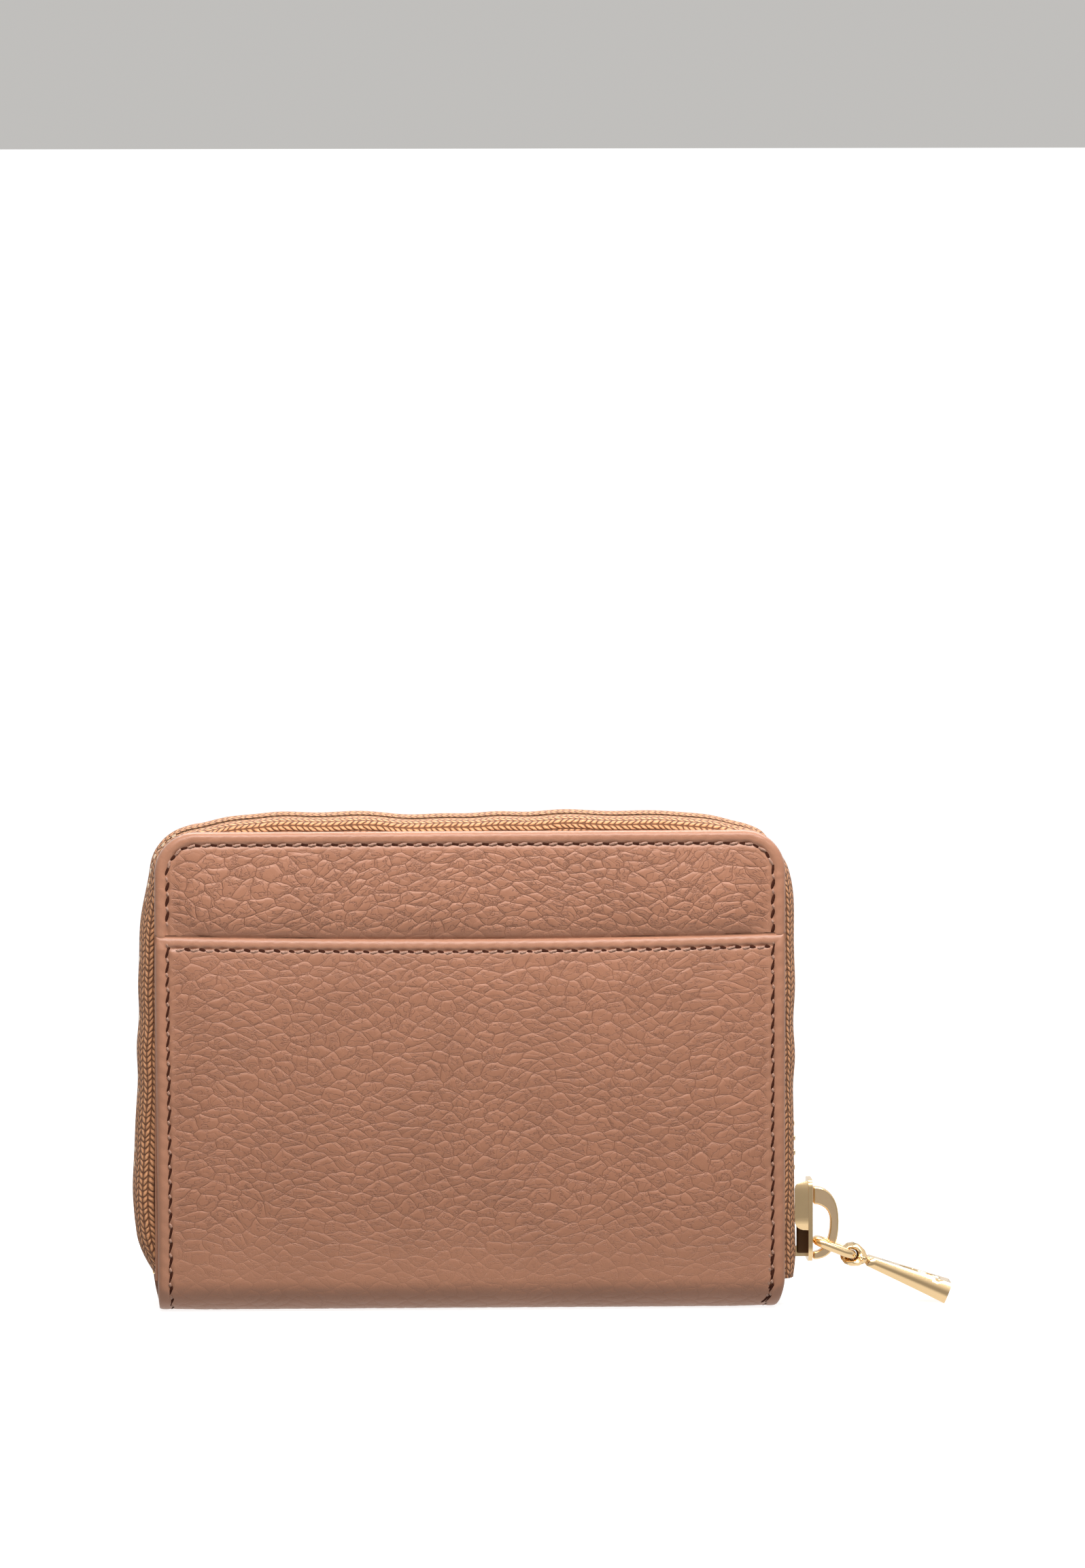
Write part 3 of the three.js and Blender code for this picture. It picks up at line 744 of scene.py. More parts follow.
def evenly(path, start, end, pitch):
    """Parameters along path(t) -> (n, 3) that lie one pitch apart, as nearly as the length allows."""
    t = np.linspace(start, end, 4000)
    steps = np.linalg.norm(np.diff(path(t), axis=0), axis=1)
    length = np.concatenate([[0], np.cumsum(steps)])
    count = max(1, round(length[-1] / pitch))
    return np.interp((np.arange(count) + 0.5) / count * length[-1], length, t)


def local_axes(path, normal, t):
    """Place, direction along, direction across, and outward normal at t."""
    places = path(t)
    along = path(t + 0.05) - path(t - 0.05)
    along /= np.linalg.norm(along, axis=1, keepdims=True)
    out = normal(t)
    across = np.cross(out, along)
    return places, along, across, out


def bead(length, width, depth, twist=0.0, rings=11, sides=10):
    """A small sewn shape along its first axis: its ends are sunk, and twist winds two strands round it."""
    u = np.linspace(-1, 1, rings)[:, None]
    turn = np.linspace(0, 2 * np.pi, sides, endpoint=False)[None, :]
    size = np.sqrt(np.clip(1 - np.abs(u) ** 3, 0.02, 1))
    lobes = 1 + (0.2 * np.cos(2 * (turn - twist * u)) if twist else 0)
    a = np.broadcast_to(u * length / 2, (rings, sides))
    b = size * lobes * width / 2 * np.cos(turn)
    c = size * lobes * depth / 2 * np.sin(turn) - 0.2 * np.abs(u) ** 3 * (twist > 0)
    points = np.stack([a, b, c], -1).reshape(-1, 3)
    return points, tube_faces(rings, sides) + end_faces(rings, sides)


def sew(shapes, places, along, across, out, bead_shape, slant=0.0, lift=0.0, shift=0.0):
    """Adds one bead at each place to the lists in shapes."""
    points, faces = bead_shape
    for i in range(len(places)):
        wobble = 0.06 * math.sin(i * 2.4) + 0.04 * math.sin(i * 5.1)
        angle = slant + 0.5 * wobble
        a = along[i] * math.cos(angle) + across[i] * math.sin(angle)
        b = across[i] * math.cos(angle) - along[i] * math.sin(angle)
        start = sum(len(p) for p in shapes[0])
        centre = places[i] + out[i] * lift + along[i] * shift + across[i] * wobble
        stretch = 1 + wobble
        shapes[0].append(centre + np.outer(points[:, 0] * stretch, a) + np.outer(points[:, 1], b)
                         + np.outer(points[:, 2], out[i]))
        shapes[1].extend([[index + start for index in face] for face in faces])


TOP_STITCH = bead(1.75, 0.46, 0.42, twist=4.2)
SIDE_STITCH = bead(0.85, 0.42, 0.36, twist=2.2)
TOP_HOLE = bead(1.3, 0.8, 0.4)
SIDE_HOLE = bead(2.4, 0.58, 0.4)


def stitch_row(threads, holes, path, normal, start, end, side=lambda t: np.zeros(len(t), bool)):
    """A row of stitches with needle holes between, each a small dark bead of painted shade. Where side(t)
    holds, the thread lies deeper.
    """
    t = evenly(path, start, end, STITCH_PITCH)
    following = np.append(t[1:], t[-1] + (t[-1] - t[-2])) if len(t) > 1 else t + STITCH_PITCH
    between = (t + following) / 2
    beside, beside_hole = side(t), side(between)
    for chosen, thread_bead, lift in ((~beside, TOP_STITCH, -0.1), (beside, SIDE_STITCH, -0.13)):
        if chosen.any():
            sew(threads, *local_axes(path, normal, t[chosen]), thread_bead, slant=math.radians(13), lift=lift)
    for chosen, hole_bead in ((~beside_hole, TOP_HOLE), (beside_hole, SIDE_HOLE)):
        if chosen.any():
            axes = local_axes(path, normal, between[chosen])
            sew(holes, *axes, hole_bead, slant=math.radians(-22), lift=-0.24)


def sewn_objects(name, threads, holes, attach):
    """Makes a row's thread and its needle holes, dark beads of painted shade. attach puts each on its body,
    or bakes its transform in place.
    """
    for kind, shapes, material in (("thread", threads, thread), ("holes", holes, hole_shade)):
        obj = make_object(f"{name}_{kind}", np.concatenate(shapes[0]), shapes[1], material)
        attach(obj)


def around(t, out, corner=CORNER, low=TAPE_END):
    """Places and outward normals on the covers' outline, a distance t along it from the left foot.

    out is how far beyond the outline each place lies.
    """
    side_run = TOP_Z - corner - low
    arc = corner * np.pi / 2
    top_run = 2 * (HALF_WIDTH - corner)
    up = np.clip(t, None, side_run)
    first = np.clip((t - side_run) / corner, 0, np.pi / 2)
    over = np.clip(t - side_run - arc, 0, top_run)
    second = np.clip((t - side_run - arc - top_run) / corner, 0, np.pi / 2)
    down = np.maximum(t - side_run - 2 * arc - top_run, 0)
    angle = first + second
    normal_x, normal_z = -np.cos(angle), np.sin(angle)
    x = -HALF_WIDTH + corner * (1 - np.cos(first)) + over + corner * np.sin(second)
    z = low + up + corner * np.sin(first) - corner * (1 - np.cos(second)) - down
    return x + out * normal_x, z + out * normal_z, normal_x, normal_z


SIDE_RUN = TOP_Z - CORNER - TAPE_END
ARC = CORNER * math.pi / 2
RUN = 2 * SIDE_RUN + 2 * ARC + 2 * (HALF_WIDTH - CORNER)


def face_back(t):
    return np.tile([0.0, -1.0, 0.0], (len(t), 1))


def shell_normal(s):
    _, _, normal_y, normal_z = shell_profile(s)
    return np.stack([0 * normal_y, normal_y, normal_z], -1)


def on_side(t):
    """Whether a place on the back outline is on a side run, or just into a corner."""
    return (t < SIDE_RUN + 0.15 * ARC) | (t > RUN - SIDE_RUN - 0.15 * ARC)


def back_stitches():
    """Round the panel above the pocket."""
    threads, holes = ([], []), ([], [])

    def path(t):
        x, z, _, _ = around(t, -STITCH_INSET)
        return np.stack([x, np.full_like(x, UPPER_BACK_Y), z], -1)

    start = LIP_Z - TAPE_END + 0.6
    stitch_row(threads, holes, path, face_back, start, RUN - start, on_side)
    sewn_objects("back_panel", threads, holes, lambda obj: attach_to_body(obj, "back_half"))


def pocket_stitches():
    """Down both sides of the pocket and along the spine, and along the lip."""
    threads, holes = ([], []), ([], [])

    def all_beside(t):
        return np.ones(len(t), bool)

    for sign in (-1, 1):
        def path(t, sign=sign):
            x = sign * (HALF_WIDTH - STITCH_INSET) + 0 * t
            return shell_points(x, t, -FOOT_SINK * (1 - foot_lift(t)))

        stitch_row(threads, holes, path, shell_normal, 0.4, SEAM - 0.4, all_beside)

    def sewn_twice(t):
        return shell_points(HALF_WIDTH - STITCH_INSET - 0.55 + 0 * t, t, 0 * t)

    stitch_row(threads, holes, sewn_twice, shell_normal, WALL - 5, WALL + 4.5, all_beside)

    def lip(t):
        bow = 1 - (t / HALF_WIDTH) ** 2
        depth = 2.4
        near_lip = ease(1 - depth / LIP_REACH)
        places = shell_points(t, np.full_like(t, depth), LIP_SWELL * near_lip * bow)
        places[:, 2] -= SAG * bow * near_lip
        return places

    reach = HALF_WIDTH - STITCH_INSET - 0.9
    stitch_row(threads, holes, lip, face_back, -reach, reach)
    sewn_objects("pocket", threads, holes, blend_foot_back)


def front_stitches():
    """Round the whole front cover, from the seam in the foot and back to it."""
    threads, holes = ([], []), ([], [])
    low = FRONT_TOP - SEAM
    straight = low - FRONT_CORNER
    whole = 2 * straight + math.pi * FRONT_CORNER + 2 * (HALF_WIDTH - FRONT_CORNER)

    def along_leather(t):
        x, z, _, _ = around(t, -STITCH_INSET, corner=FRONT_CORNER, low=TOP_Z - low)
        return x, FRONT_TOP + z - TOP_Z

    def path(t):
        x, s = along_leather(t)
        return shell_points(x, s, 0.0)

    def normal(t):
        return shell_normal(along_leather(t)[1])

    def side(t):
        return (t < straight + 2) | (t > whole - straight - 2)

    stitch_row(threads, holes, path, normal, 1.0, whole - 1.0, side)
    sewn_objects("front_cover", threads, holes, blend_foot_front)


back_stitches()
pocket_stitches()
front_stitches()


# ---- zip tapes and teeth ----

# Points across a tape: how far each lies out from the covers' outline, and from the middle plane.
TAPE_PROFILE = ((-3.8, 7.425), (-0.3, 7.425), (0.75, 6.725), (1.3, 5.225), (1.35, 4.0), (1.3, 2.9))
TAPE_SWELL = (0, 0, 0.25, 0.45, 0.4, 0.1)      # how far each point stands out where the tape is full
TOP_SWELL = (0, 0, 0.1, -0.1, -0.15, -0.1)     # and how much further along the top
TOP_SINK = 0.7                                 # how much lower the teeth lie along the top
TAPE_THICKNESS = 0.55


def zip_shift(t):
    """How far the zip stands out of, or in from, its even run."""
    x, z, normal_x, normal_z = around(t, 0.0)
    left, right, top = (ease((facing - 0.5) / 0.5) for facing in (-normal_x, normal_x, normal_z))
    left_corner, right_corner = SIDE_RUN + ARC / 2, RUN - SIDE_RUN - ARC / 2
    right_reach = np.where(t < right_corner, 11.0, 5.5)      # short, to leave the slider's run straight
    shift = -3.0 * np.clip(1 - t / 10, 0, 1) ** 2            # tucked in at the left foot
    shift = shift + (0.45 + hump(z, 21, 15)) * left * ease(t / 8)
    shift = shift - 2.6 * hump(t, left_corner, 11.0) - 2.6 * hump(t, right_corner, right_reach)
    shift = shift + (0.55 * hump(z, 28, 9) - 0.25) * right
    shift = shift + (0.35 - 0.45 * hump(x, -6, 13)) * top
    return shift + 0.06 * np.sin(t / 5.3) + 0.08 * np.sin(t / 2.9 + 1) * ease((RUN - 22 - t) / 6)


def top_share(normal_z):
    """How far a place on the outline counts as the top, from 0 to 1."""
    return ease((normal_z - 0.8) / 0.2)


def smooth_curve(points, per_span=6):
    """A curve through the points, by Catmull and Rom's rule."""
    points = np.asarray(points, float)
    ends = np.concatenate([[2 * points[0] - points[1]], points, [2 * points[-1] - points[-2]]])
    result = []
    for i in range(1, len(ends) - 2):
        a, b, c, d = ends[i - 1:i + 3]
        for u in np.linspace(0, 1, per_span, endpoint=False):
            result.append(0.5 * ((2 * b) + (c - a) * u + (2 * a - 5 * b + 4 * c - d) * u**2
                                 + (3 * b - a - 3 * c + d) * u**3))
    result.append(points[-1])
    return np.array(result)


def side_normals(curve):
    """Unit normals, on the left of a curve in a plane."""
    ahead = np.gradient(curve, axis=0)
    ahead /= np.linalg.norm(ahead, axis=1, keepdims=True)
    return np.stack([-ahead[:, 1], ahead[:, 0]], 1)


def tape(side, body, node):
    """One woven tape, from under the cover's edge out to the teeth. side is -1 at the back, 1 in front."""
    middle = smooth_curve(TAPE_PROFILE)
    swell, top_swell = smooth_curve(np.stack([TAPE_SWELL, TOP_SWELL], 1)).T
    swell, top_swell = (np.concatenate([part, part[::-1]]) for part in (swell, top_swell))
    half = side_normals(middle) * TAPE_THICKNESS / 2
    section = np.concatenate([middle - half, (middle + half)[::-1]])
    across = np.concatenate([[0], np.cumsum(np.linalg.norm(np.diff(middle, axis=0), axis=1))])
    across = np.concatenate([across, across[::-1] + 40])      # the inner face has a weave of its own
    t, index = np.meshgrid(np.linspace(0, RUN, 520), np.arange(len(section)), indexing="ij")
    out, away = section[index][..., 0], section[index][..., 1]
    free = ease((out + 2.5) / 2.5)
    ripple = 0.1 * np.sin(t / 1.9 + 0.7 * np.sin(t / 7)) * free
    full = ease((RUN - 26 - t) / 12) + 0.8 / 0.45 * hump(t, RUN - 6, 7)      # flatter above the slider
    stand_out = swell[index] * full + top_swell[index] * top_share(around(t, 0.0)[3])
    x, z, _, _ = around(t, out + zip_shift(t) * free + ripple + stand_out)
    points = np.stack([x, side * away, z], -1).reshape(-1, 3)
    faces = tube_faces(*t.shape) + end_faces(*t.shape)
    obj = make_object(f"zip_tape_{body}", points, faces, zip_tape)
    set_points(obj, "weave", np.stack([t, across[index], np.zeros_like(t)], -1).reshape(-1, 3))
    place(obj, body, "zip_tape", node)


def tooth():
    """One tooth: legs that grip the tape's edge, and a head that reaches past the middle."""
    legs_y, neck_y, head_y, tip_y = 2.75, 1.3, 0.9, -0.65
    outline = ((legs_y, 0.42), (neck_y, 0.45), (head_y, 0.34), (tip_y + 0.55, 0.42), (tip_y, 0.26))
    low, high = 0.3, 1.95
    points = []
    for y, half in outline:
        inset = 0.0 if y > head_y - 0.01 else 0.22
        bottom, top = low + inset, high - inset
        points += [(-half, y, bottom), (half, y, bottom), (half, y, top), (-half, y, top)]
    faces = [[0, 1, 2, 3]]
    for i in range(len(outline) - 1):
        for j in range(4):
            k = (j + 1) % 4
            faces.append([4 * i + j, 4 * i + 4 + j, 4 * i + 4 + k, 4 * i + k])
    last = 4 * (len(outline) - 1)
    faces.append([last + 3, last + 2, last + 1, last])
    return np.array(points), faces


def teeth(side, body, node):
    points, faces = tooth()
    first = TEETH_END - TAPE_END + 0.6 + (TOOTH_PITCH / 2 if side > 0 else 0)
    centres = np.arange(first, RUN - first, TOOTH_PITCH)
    all_points, all_faces = [], []
    for number, centre in enumerate(centres):
        t = np.full(len(points), centre)
        shift = zip_shift(t) - TOP_SINK * top_share(around(t, 0.0)[3])
        x, z, normal_x, normal_z = around(t, points[:, 2] + shift)
        x = x + points[:, 0] * normal_z
        z = z - points[:, 0] * normal_x
        all_points.append(np.stack([x, side * points[:, 1], z], -1))
        all_faces += [[index + number * len(points) for index in face] for face in faces]
    obj = make_object(f"zip_teeth_{body}", np.concatenate(all_points), all_faces, gold)
    bevel(obj, 0.14, segments=2)
    place(obj, body, "zip_metal", node)


for side, body, half in ((-1, "back_half", "back"), (1, "front_half", "front")):
    tape(side, body, f"{half}_zip_tape")
    teeth(side, body, f"{half}_zip_teeth")


# ---- metal pieces ----


def prism(name, outline, low, high, to_place, material):
    """A closed outline carried from low to high. to_place turns (a, b, c) into a place."""
    count = len(outline)
    points = [to_place(a, b, low) for a, b in outline] + [to_place(a, b, high) for a, b in outline]
    faces = [list(range(count))[::-1], list(range(count, 2 * count))]
    faces += [[i, (i + 1) % count, count + (i + 1) % count, count + i] for i in range(count)]
    return make_object(name, points, faces, material, smooth=False)


def from_side(y, z, x):
    return (x, y, z)


def from_front(x, z, y):
    return (x, y, z)


def from_above(x, y, z):
    return (x, y, z)


def rounded_box(name, node, material, width, segments):
    """A node's own box with rounded edges."""
    low, high = box_mm(node)
    outline = [(low.x, low.y), (high.x, low.y), (high.x, high.y), (low.x, high.y)]
    obj = prism(name, outline, low.z, high.z, from_above, material)
    finish_edges(obj, width, segments)
    return obj


def combine(obj, other, operation):
    """Adds, cuts or intersects obj with other, and removes other."""
    modifier = obj.modifiers.new("combine", "BOOLEAN")
    modifier.operation = operation
    modifier.solver = "EXACT"
    modifier.object = other
    apply_modifiers(obj)
    bpy.data.objects.remove(other)


def finish_edges(obj, width, segments=3, angle=25, edge_material=None):
    """Rounds the edges and shades them smoothly, with the faces left flat."""
    if edge_material:
        obj.data.materials.append(edge_material)
    bevel(obj, width, segments, angle, material=1 if edge_material else -1)
    obj.data.shade_smooth()
    normals = obj.modifiers.new("normals", "WEIGHTED_NORMAL")
    normals.keep_sharp = True
    apply_modifiers(obj)


def curve(start, *spans, steps=10):
    """A chain of Bezier spans. Each is two handles and an end, and starts where the last one ended."""
    u = np.linspace(0, 1, steps + 1)[1:, None]
    points = [start]
    for span in spans:
        a, b, c, d = (np.array(point, float) for point in (points[-1], *span))
        places = (1 - u)**3 * a + 3 * (1 - u)**2 * u * b + 3 * (1 - u) * u**2 * c + u**3 * d
        points += [tuple(place) for place in places]
    return points


def slider():
    """Two plates and a short web between, with a rounded flange down the side that shows."""
    low, high = box_mm("slider_body")
    plate, inner_plate = 0.75, 0.9
    web_half, web_low, web_high = 0.3, low.z + 0.6, low.z + 2.4
    nose, mouth = high.y, 4.0                            # half the plates' width at each end
    face, back = 0.25 - nose, -3.1                       # how far the flange reaches along Y
    flange_x = high.x - 3.1
    flange_low, flange_high = low.z + 5.4, high.z - 0.2

    edge = curve(
        (nose - 2.6, low.z),
        ((nose - 0.4, low.z), (nose, low.z + 1), (nose, low.z + 3)),
        ((nose - 0.2, low.z + 7), (mouth, high.z - 6), (mouth, high.z - 1.6)),
        ((mouth, high.z - 0.4), (mouth - 0.6, high.z), (mouth - 2, high.z)))
    outline = edge + [(-y, z) for y, z in edge[::-1]]
    body = prism("slider_body_detail", outline, high.x - plate, high.x, from_side, gold)
    bottom = prism("bottom", outline, low.x, low.x + inner_plate, from_side, gold)

    web_outline = [(-web_half, web_low), (web_half, web_low), (web_half, web_high), (-web_half, web_high)]
    web = prism("web", web_outline, low.x + 0.4, high.x - 0.3, from_side, gold)

    bulge = curve(
        (back, flange_low),
        ((face + 0.3, flange_low), (face, flange_low + 0.8), (face, flange_low + 2.4)),
        ((face + 0.1, flange_low + 5), (face + 0.35, flange_high), (back, flange_high)),
        steps=8)
    flange = prism("flange", bulge, flange_x, high.x - 0.35, from_side, gold)
    front = curve(
        (high.x, flange_high),
        ((flange_x + 1.2, flange_high), (flange_x, flange_high - 0.2), (flange_x, flange_high - 1.4)),
        steps=6)
    front += curve(
        (flange_x, flange_low + 2.2),
        ((flange_x, flange_low + 0.7), (flange_x + 0.5, flange_low), (high.x, flange_low)),
        steps=8)
    combine(flange, prism("flange_front", front, -6, 0, from_front, gold), "INTERSECT")

    for other in (bottom, web, flange):
        combine(body, other, "UNION")
    finish_edges(body, 0.28, segments=4, angle=30)
    place(body, "slider", "zip_metal", "slider_body")

    # A dark block fills the slider's channel as painted shade, where the enclosed inside lies in shadow.
    channel_low, channel_high = low.z + 1.2, low.z + 6.4
    opening = [(-1, channel_low), (1, channel_low), (1, channel_high), (-1, channel_high)]
    channel = prism("slider_channel_detail", opening, high.x - 2.5, high.x - 0.5, from_side, channel_shade_metal)
    finish_edges(channel, 0.25)
    place(channel, "slider", "zip_metal")


def slider_bridge():
    """The flat D on the slider's outer plate. Its faces are satin and its edges polished."""
    low, high = box_mm("slider_bridge")
    foot, inner = low.x, high.x - 1.45
    outline = curve(
        (foot, high.z),
        ((high.x - 1.6, high.z), (high.x, 18), (high.x, 14)),
        ((high.x, 9.4), (high.x - 1.4, low.z), (foot, low.z)))
    outline += curve(
        (foot, low.z + 1.3),
        ((foot + 1.6, low.z + 1.3), (inner, 10.4), (inner, 14)),
        ((inner, 16), (foot + 1.6, high.z - 3), (foot, high.z - 3)))
    obj = prism("slider_bridge_detail", outline, low.y, high.y, from_front, satin_gold)
    finish_edges(obj, 0.3, angle=40, edge_material=gold)
    place(obj, "slider", "zip_metal", "slider_bridge")


def joint_place(name):
    return Vector(joints[name]["pos_m"]) / MM


RING_PIVOT = joint_place("ring_swing")
PULL_PIVOT = joint_place("pull_swing")
PULL_DIRECTION = (PULL_PIVOT - RING_PIVOT).normalized()
PULL_UP = Vector((-PULL_DIRECTION.z, 0, PULL_DIRECTION.x))


def along_pull(origin, u, y, w):
    """A place u along the pull from the origin, and w above its middle plane."""
    place_mm = origin + PULL_DIRECTION * u + PULL_UP * w
    return (place_mm.x, y, place_mm.z)


def link_ring():
    """A loop of round wire with soft corners."""
    start, end, half_width = -2.3, 4.2, 2.05             # of the loop that the wire's middle follows
    corner, wire = 1.4, 0.76                             # radius of that loop's corners, and of the wire
    middle = []
    for centre_u, centre_y, first in (
            (end - corner, half_width - corner, 0), (start + corner, half_width - corner, 90),
            (start + corner, -half_width + corner, 180), (end - corner, -half_width + corner, 270)):
        for angle in np.radians(np.linspace(first, first + 90, 9)):
            middle.append((centre_u + corner * math.cos(angle), centre_y + corner * math.sin(angle),
                           math.cos(angle), math.sin(angle)))
    sides, points = 14, []
    for u, y, out_u, out_y in middle:
        for j in range(sides):
            angle = 2 * math.pi * j / sides
            reach = wire * math.cos(angle)
            rise = wire * math.sin(angle)
            points.append(along_pull(RING_PIVOT, u + reach * out_u, y + reach * out_y, rise))
    faces = tube_faces(len(middle), sides, closed=True)
    obj = make_object("link_ring_detail", points, faces, gold)
    place(obj, "link_ring", "zip_metal", "link_ring")


def pull_eye():
    """The faceted eye at the pull's root: a round hole for the ring, with more metal on the pull's side."""
    hole = 0.88
    half_profile = ((hole, 0.5), (1.15, 1.0), (1.6, 1.1), (2.05, 0.5))      # radius and half width
    profile = half_profile + tuple((radius, -y) for radius, y in half_profile[::-1])
    segments, points = 12, []
    for i in range(segments):
        angle = 2 * math.pi * (i + 0.5) / segments
        for radius, y in profile:
            stretch = 1 + 0.35 * (radius - hole) * max(0, math.cos(angle))
            u, w = radius * stretch * math.cos(angle), radius * math.sin(angle)
            points.append(along_pull(PULL_PIVOT, u, y, w))
    faces = tube_faces(segments, len(profile), closed=True)
    return make_object("pull_tab_detail", points, faces, gold, smooth=False)


def pull_tab():
    """Eye, short neck, and a paddle that grows wider and thicker to its blunt tip."""
    start, end = 3.0, 17.7
    recess_low, recess_middle, recess_high, recess_reach = 8.5, 12.2, 15.9, 3.8

    def thickness(u):
        return 1.65 + 2.0 * (u - start) / (end - start)

    def half_width(u):
        return 1.9 + 1.6 * ((u - start) / (end - start)) ** 1.7

    def recess_half(u):
        return 1.3 * math.sqrt(max(0.05, 1 - ((u - recess_middle) / recess_reach) ** 2))

    eye = pull_eye()
    neck = loft("neck", [(1.8, 0.8, 1.5), (2.5, 0.7, 1.3), (3.4, 0.8, 1.4)])
    sections = [(u, half_width(u), thickness(u)) for u in np.linspace(start, end, 14)]
    paddle = loft("paddle", [(start - 0.25, 1.3, 1.3), *sections])
    sections = [(u, recess_half(u), 0.8) for u in np.linspace(recess_low, recess_high, 14)]
    recess = loft("recess", sections, rise=lambda u: thickness(u) / 2)
    combine(paddle, recess, "DIFFERENCE")
    combine(paddle, neck, "UNION")
    combine(eye, paddle, "UNION")
    finish_edges(eye, 0.16, angle=24)
    place(eye, "pull_tab", "zip_metal", "pull_tab")


def loft(name, sections, rise=lambda u: 0.0):
    """Sections (u, half width, thickness) along the pull, with bowed sides. rise lifts each one's middle."""
    points = []
    steps = np.linspace(-1, 1, 5)
    for u, half_width, thickness in sections:
        bow = 0.2 * thickness
        side = [(half_width + bow * (1 - step**2), step * thickness / 2 + rise(u)) for step in steps]
        points += [along_pull(PULL_PIVOT, u, -y, w) for y, w in side]
        points += [along_pull(PULL_PIVOT, u, y, w) for y, w in side[::-1]]
    size = (len(sections), 2 * len(steps))
    return make_object(name, points, tube_faces(*size) + end_faces(*size), gold, smooth=False)


def end_stops():
    """A folded metal stop at each end of each tape."""
    for half in ("back", "front"):
        for hand in ("left", "right"):
            node = f"{half}_end_stop_{hand}"
            stop = rounded_box(f"{node}_detail", node, gold, 0.28, segments=4)
            place(stop, f"{half}_half", "zip_metal", node)


slider()
slider_bridge()
link_ring()
pull_tab()
end_stops()


# ---- inside ----


def inner_sheet(name, node, body, slot, material, facing, corners, hem=False):
    """A flat inner sheet in its node's space.

    facing is the side of Y that shows, corners the radius of the lower and of the upper ones, and a hem is
    a turned top edge.
    """
    low, high = box_mm(node)
    middle = (low.x + high.x) / 2
    x, z, distance = flat_grid(
        (high.x - low.x) / 2, low.z, high.z, top_radius=corners[1], bottom_radius=corners[0], step=1.1)
    face, back = (high.y, low.y) if facing > 0 else (low.y, high.y)
    relief = -0.12 * np.clip(1 - distance / 0.4, 0, 1) ** 2
    if hem:
        under = high.z - z
        relief = relief - 0.1 * ease((under - 3.2) / 0.5) - 0.12 * hump(under, 2.4, 0.3)
    relief = relief + 0.02 * np.sin(x / 7.3) * np.sin(z / 9.1)
    outer = np.stack([x + middle, face + facing * relief, z], -1)
    inner = np.stack([x + middle, np.full_like(x, back), z], -1)
    obj = make_object(name, *closed_sheet(outer, inner), material)
    place(obj, body, slot, node)


def linings_and_slots():
    """In each cover a cloth lining, and on it three card slots, each lying on the one before."""
    for half, facing in (("back", 1), ("front", -1)):
        body = f"{half}_half"
        under = f"{half}_lining_cloth"
        inner_sheet(under, f"{half}_lining", body, "lining", lining_cloth, facing, (5, 4))
        for number in (1, 2, 3):
            name = f"{half}_slot_{number}"
            inner_sheet(name, f"{half}_card_slot_{number}", body, "inner_leather", inner_leather, facing,
                        (2, 1.5), hem=True)
            under = name


def coin_pocket():
    for wall, facing in (("front", 1), ("back", -1)):
        inner_sheet(f"coin_pocket_{wall}", f"coin_pocket_{wall}_wall", "coin_pocket", "inner_leather",
                    inner_leather, facing, (1, 1.5), hem=True)
    for name, node in (("coin_pocket_floor", "coin_pocket_base"),
                       ("coin_pocket_end_left", "coin_pocket_left_end"),
                       ("coin_pocket_end_right", "coin_pocket_right_end")):
        place(rounded_box(name, node, lining_cloth, 0.12, segments=2), "coin_pocket", "lining", node)


GUSSET_PATH = (      # seen from above, from the cover's lining in to the fold and back to the coin pocket
    (48.7, 6.15), (48.6, 4.8), (47.8, 4.06), (44.0, 3.95), (39.0, 3.84), (34.3, 3.72), (33.6, 3.55),
    (34.3, 3.38), (39.0, 3.26), (44.0, 3.12), (45.8, 2.98))
GUSSET_THICKNESS = 0.22


def gusset(half, hand, section):
    """One gusset. Its top edge drops towards the fold."""
    side, mirror = (-1 if half == "back" else 1), (-1 if hand == "left" else 1)
    node = f"{half}_gusset_{hand}"
    low, high = box_mm(node)
    levels, sides = 40, len(section)
    points = []
    for level in np.linspace(0, 1, levels):
        for x, y in section:
            top = high.z - 9 * ease((46 - x) / 12.4) * 0.6
            points.append((mirror * x, side * y, low.z + (top - low.z) * level))
    faces = tube_faces(levels, sides)
    for first in (0, (levels - 1) * sides):
        faces += [[first + j, first + j + 1, first + sides - 2 - j, first + sides - 1 - j]
                  for j in range(sides // 2 - 1)]
    obj = make_object(f"{node}_cloth", points, faces, lining_cloth)
    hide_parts(node)
    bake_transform(obj)


def gussets():
    """Thin folded sides, which open like a fan as the wallet opens. Each is one fixed shape here, of two
    leaves that meet at a fold inside.
    """
    middle = smooth_curve(GUSSET_PATH, 4)
    beside = side_normals(middle) * GUSSET_THICKNESS / 2
    section = np.concatenate([middle + beside, (middle - beside)[::-1]])
    for half in ("back", "front"):
        for hand in ("left", "right"):
            gusset(half, hand, section)


def spine_lining():
    low, high = box_mm("spine_lining")
    y, x = np.meshgrid(np.linspace(low.y, high.y, 14), np.linspace(low.x, high.x, 60), indexing="ij")
    ripple = 0.12
    rise = ripple * np.cos((y - low.y) / (high.y - low.y) * 2 * np.pi)
    outer = np.stack([x, y, high.z + rise - ripple], -1)
    inner = np.stack([x, y, np.full_like(x, low.z)], -1)
    obj = make_object("spine_lining_cloth", *closed_sheet(outer, inner), lining_cloth)
    place(obj, "back_half", "lining", "spine_lining")


def boards():
    """The two boards keep their CAD mesh and get a material of their own."""
    for half in ("back", "front"):
        node = frame["nodes"][f"{half}_board"]
        node.data.materials.clear()
        node.data.materials.append(board)


linings_and_slots()
coin_pocket()
gussets()
spine_lining()
boards()


# ---- stage and light ----


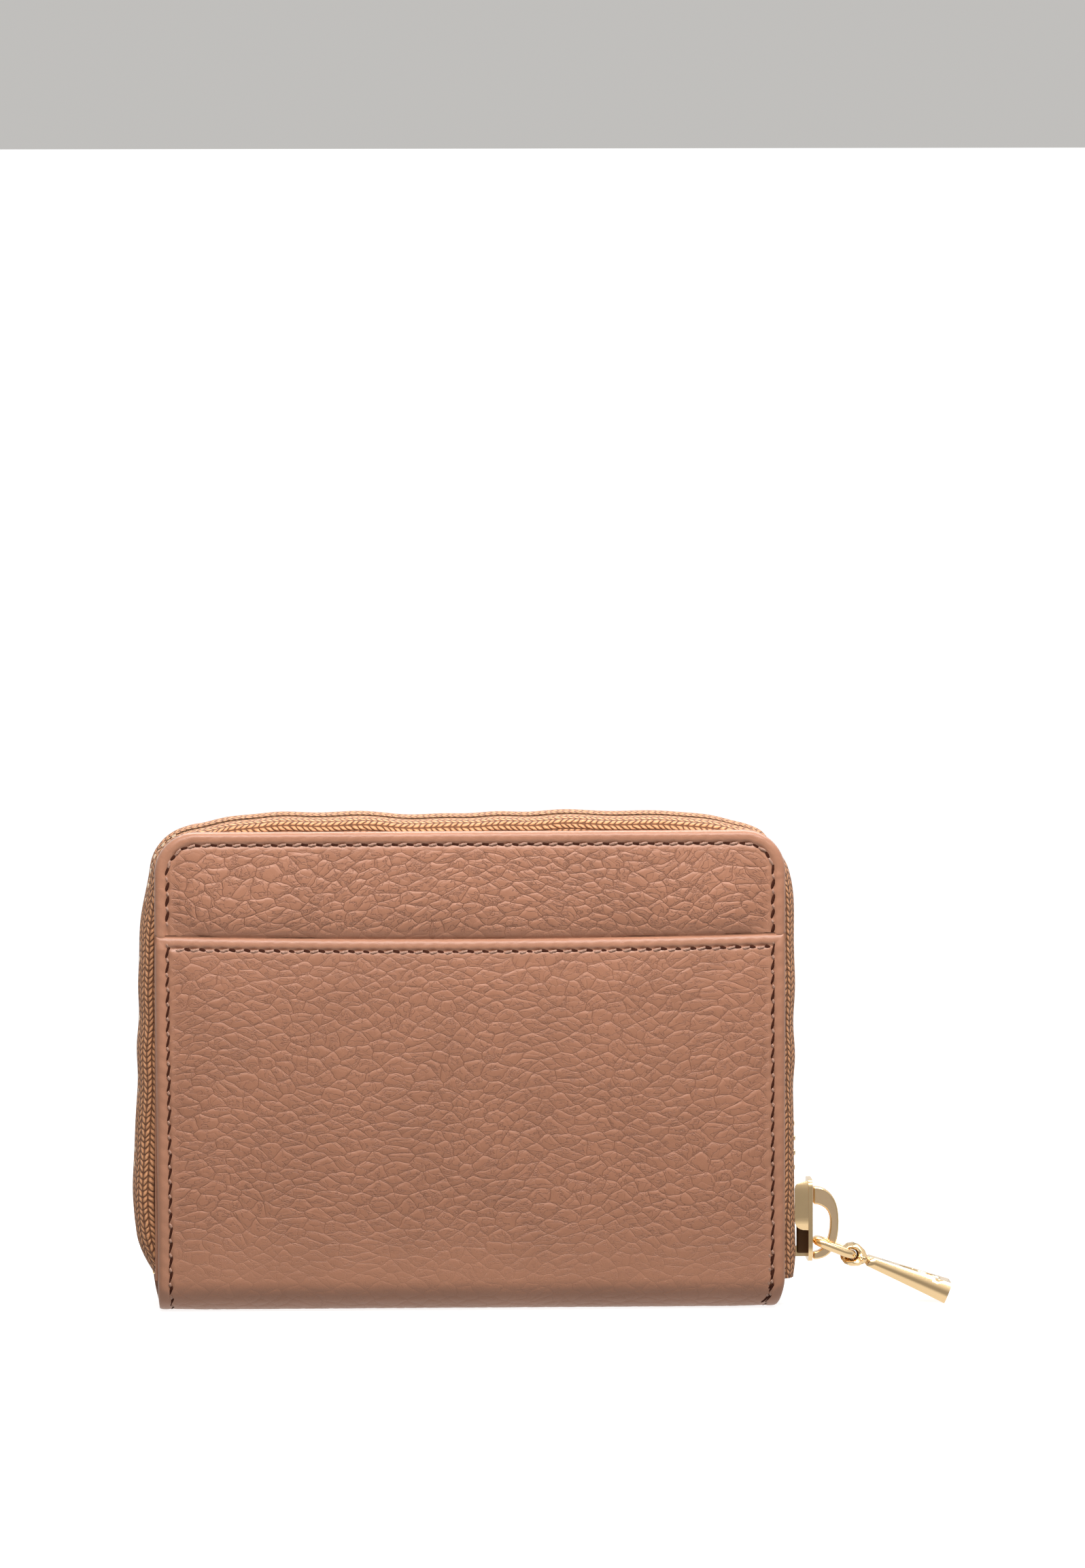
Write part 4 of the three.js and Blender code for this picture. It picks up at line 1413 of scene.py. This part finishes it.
def area_light(name, place_m, size_m, power, aim=(0, 0, 0.04), mirrored=True):
    data = bpy.data.lights.new(name, "AREA")
    data.shape = "RECTANGLE"
    data.size, data.size_y = size_m
    data.energy = power
    light = bpy.data.objects.new(name, data)
    light.visible_glossy = mirrored
    light.location = place_m
    light.rotation_mode = "QUATERNION"
    light.rotation_quaternion = (Vector(aim) - Vector(place_m)).to_track_quat("-Z", "Y")
    bpy.context.scene.collection.objects.link(light)


def floor_material():
    """Pale, with a faint mottle, and bright enough of itself to read as a lit studio sweep."""
    material, tree = new_material("pale_floor")
    mottle = tree.noise(tree.add("ShaderNodeTexCoord").outputs["Object"], 9.0, 3.0)[0]
    color = tree.mix_color(mottle, [0.29, 0.29, 0.29], [0.31, 0.31, 0.31])
    tree.shade({"Base Color": color, "Roughness": 0.95, "Specular IOR Level": 0.1,
                "Emission Color": (1, 1, 1, 1), "Emission Strength": 0.86})
    return material


def make_floor():
    """A wide pale floor that neither lights the wallet nor shows in its metal."""
    reach, thickness, gap = 6.0 / MM, 8.0, 0.02
    corners = ((-reach, -reach), (reach, -reach), (reach, reach), (-reach, reach))
    floor = prism("floor", corners, -thickness, -gap, from_above, floor_material())
    floor.visible_diffuse = False
    floor.visible_glossy = False


def make_world():
    """Soft light from above, behind and straight below, and a brighter studio for metal to mirror."""
    world = bpy.data.worlds.new("studio")
    world.use_nodes = True
    tree = Tree(world.node_tree)
    direction = tree.split(tree.add("ShaderNodeTexCoord").outputs["Generated"])
    overhead = tree.ramp(direction[2], 0.1, 0.7, 0.0, 0.5)
    behind = tree.ramp(direction[1], -0.3, 0.5, 0.0, 0.5)
    under = tree.ramp(direction[2], -0.5, -0.12, 0.6, 0.0)
    below = tree.ramp(direction[2], -1.0, -0.4, 0.95, 0.0)
    above = tree.math("MAXIMUM", overhead, behind)
    mirrored = tree.plus(tree.math("MAXIMUM", above, under), 0.37)
    soft = tree.plus(tree.math("MAXIMUM", tree.times(above, 0.8), below), 0.13)
    is_mirror = tree.add("ShaderNodeLightPath").outputs["Is Glossy Ray"]
    strength = tree.plus(soft, tree.times(tree.minus(mirrored, soft), is_mirror))
    background = tree.nodes["Background"]
    tree.feed(background.inputs["Strength"], strength)
    tree.feed(background.inputs["Color"], (1, 0.98, 0.95, 1))
    bpy.context.scene.world = world
    bpy.context.scene.view_settings.view_transform = "Standard"


make_floor()
make_world()
area_light("key", (0.02, -0.17, 0.3), (0.36, 0.12), 1.38)
area_light("front_fill", (0.3, -1.0, 0.25), (0.7, 0.6), 0.95, mirrored=False)
area_light("back_key", (0.05, 0.2, 0.3), (0.36, 0.12), 0.95)
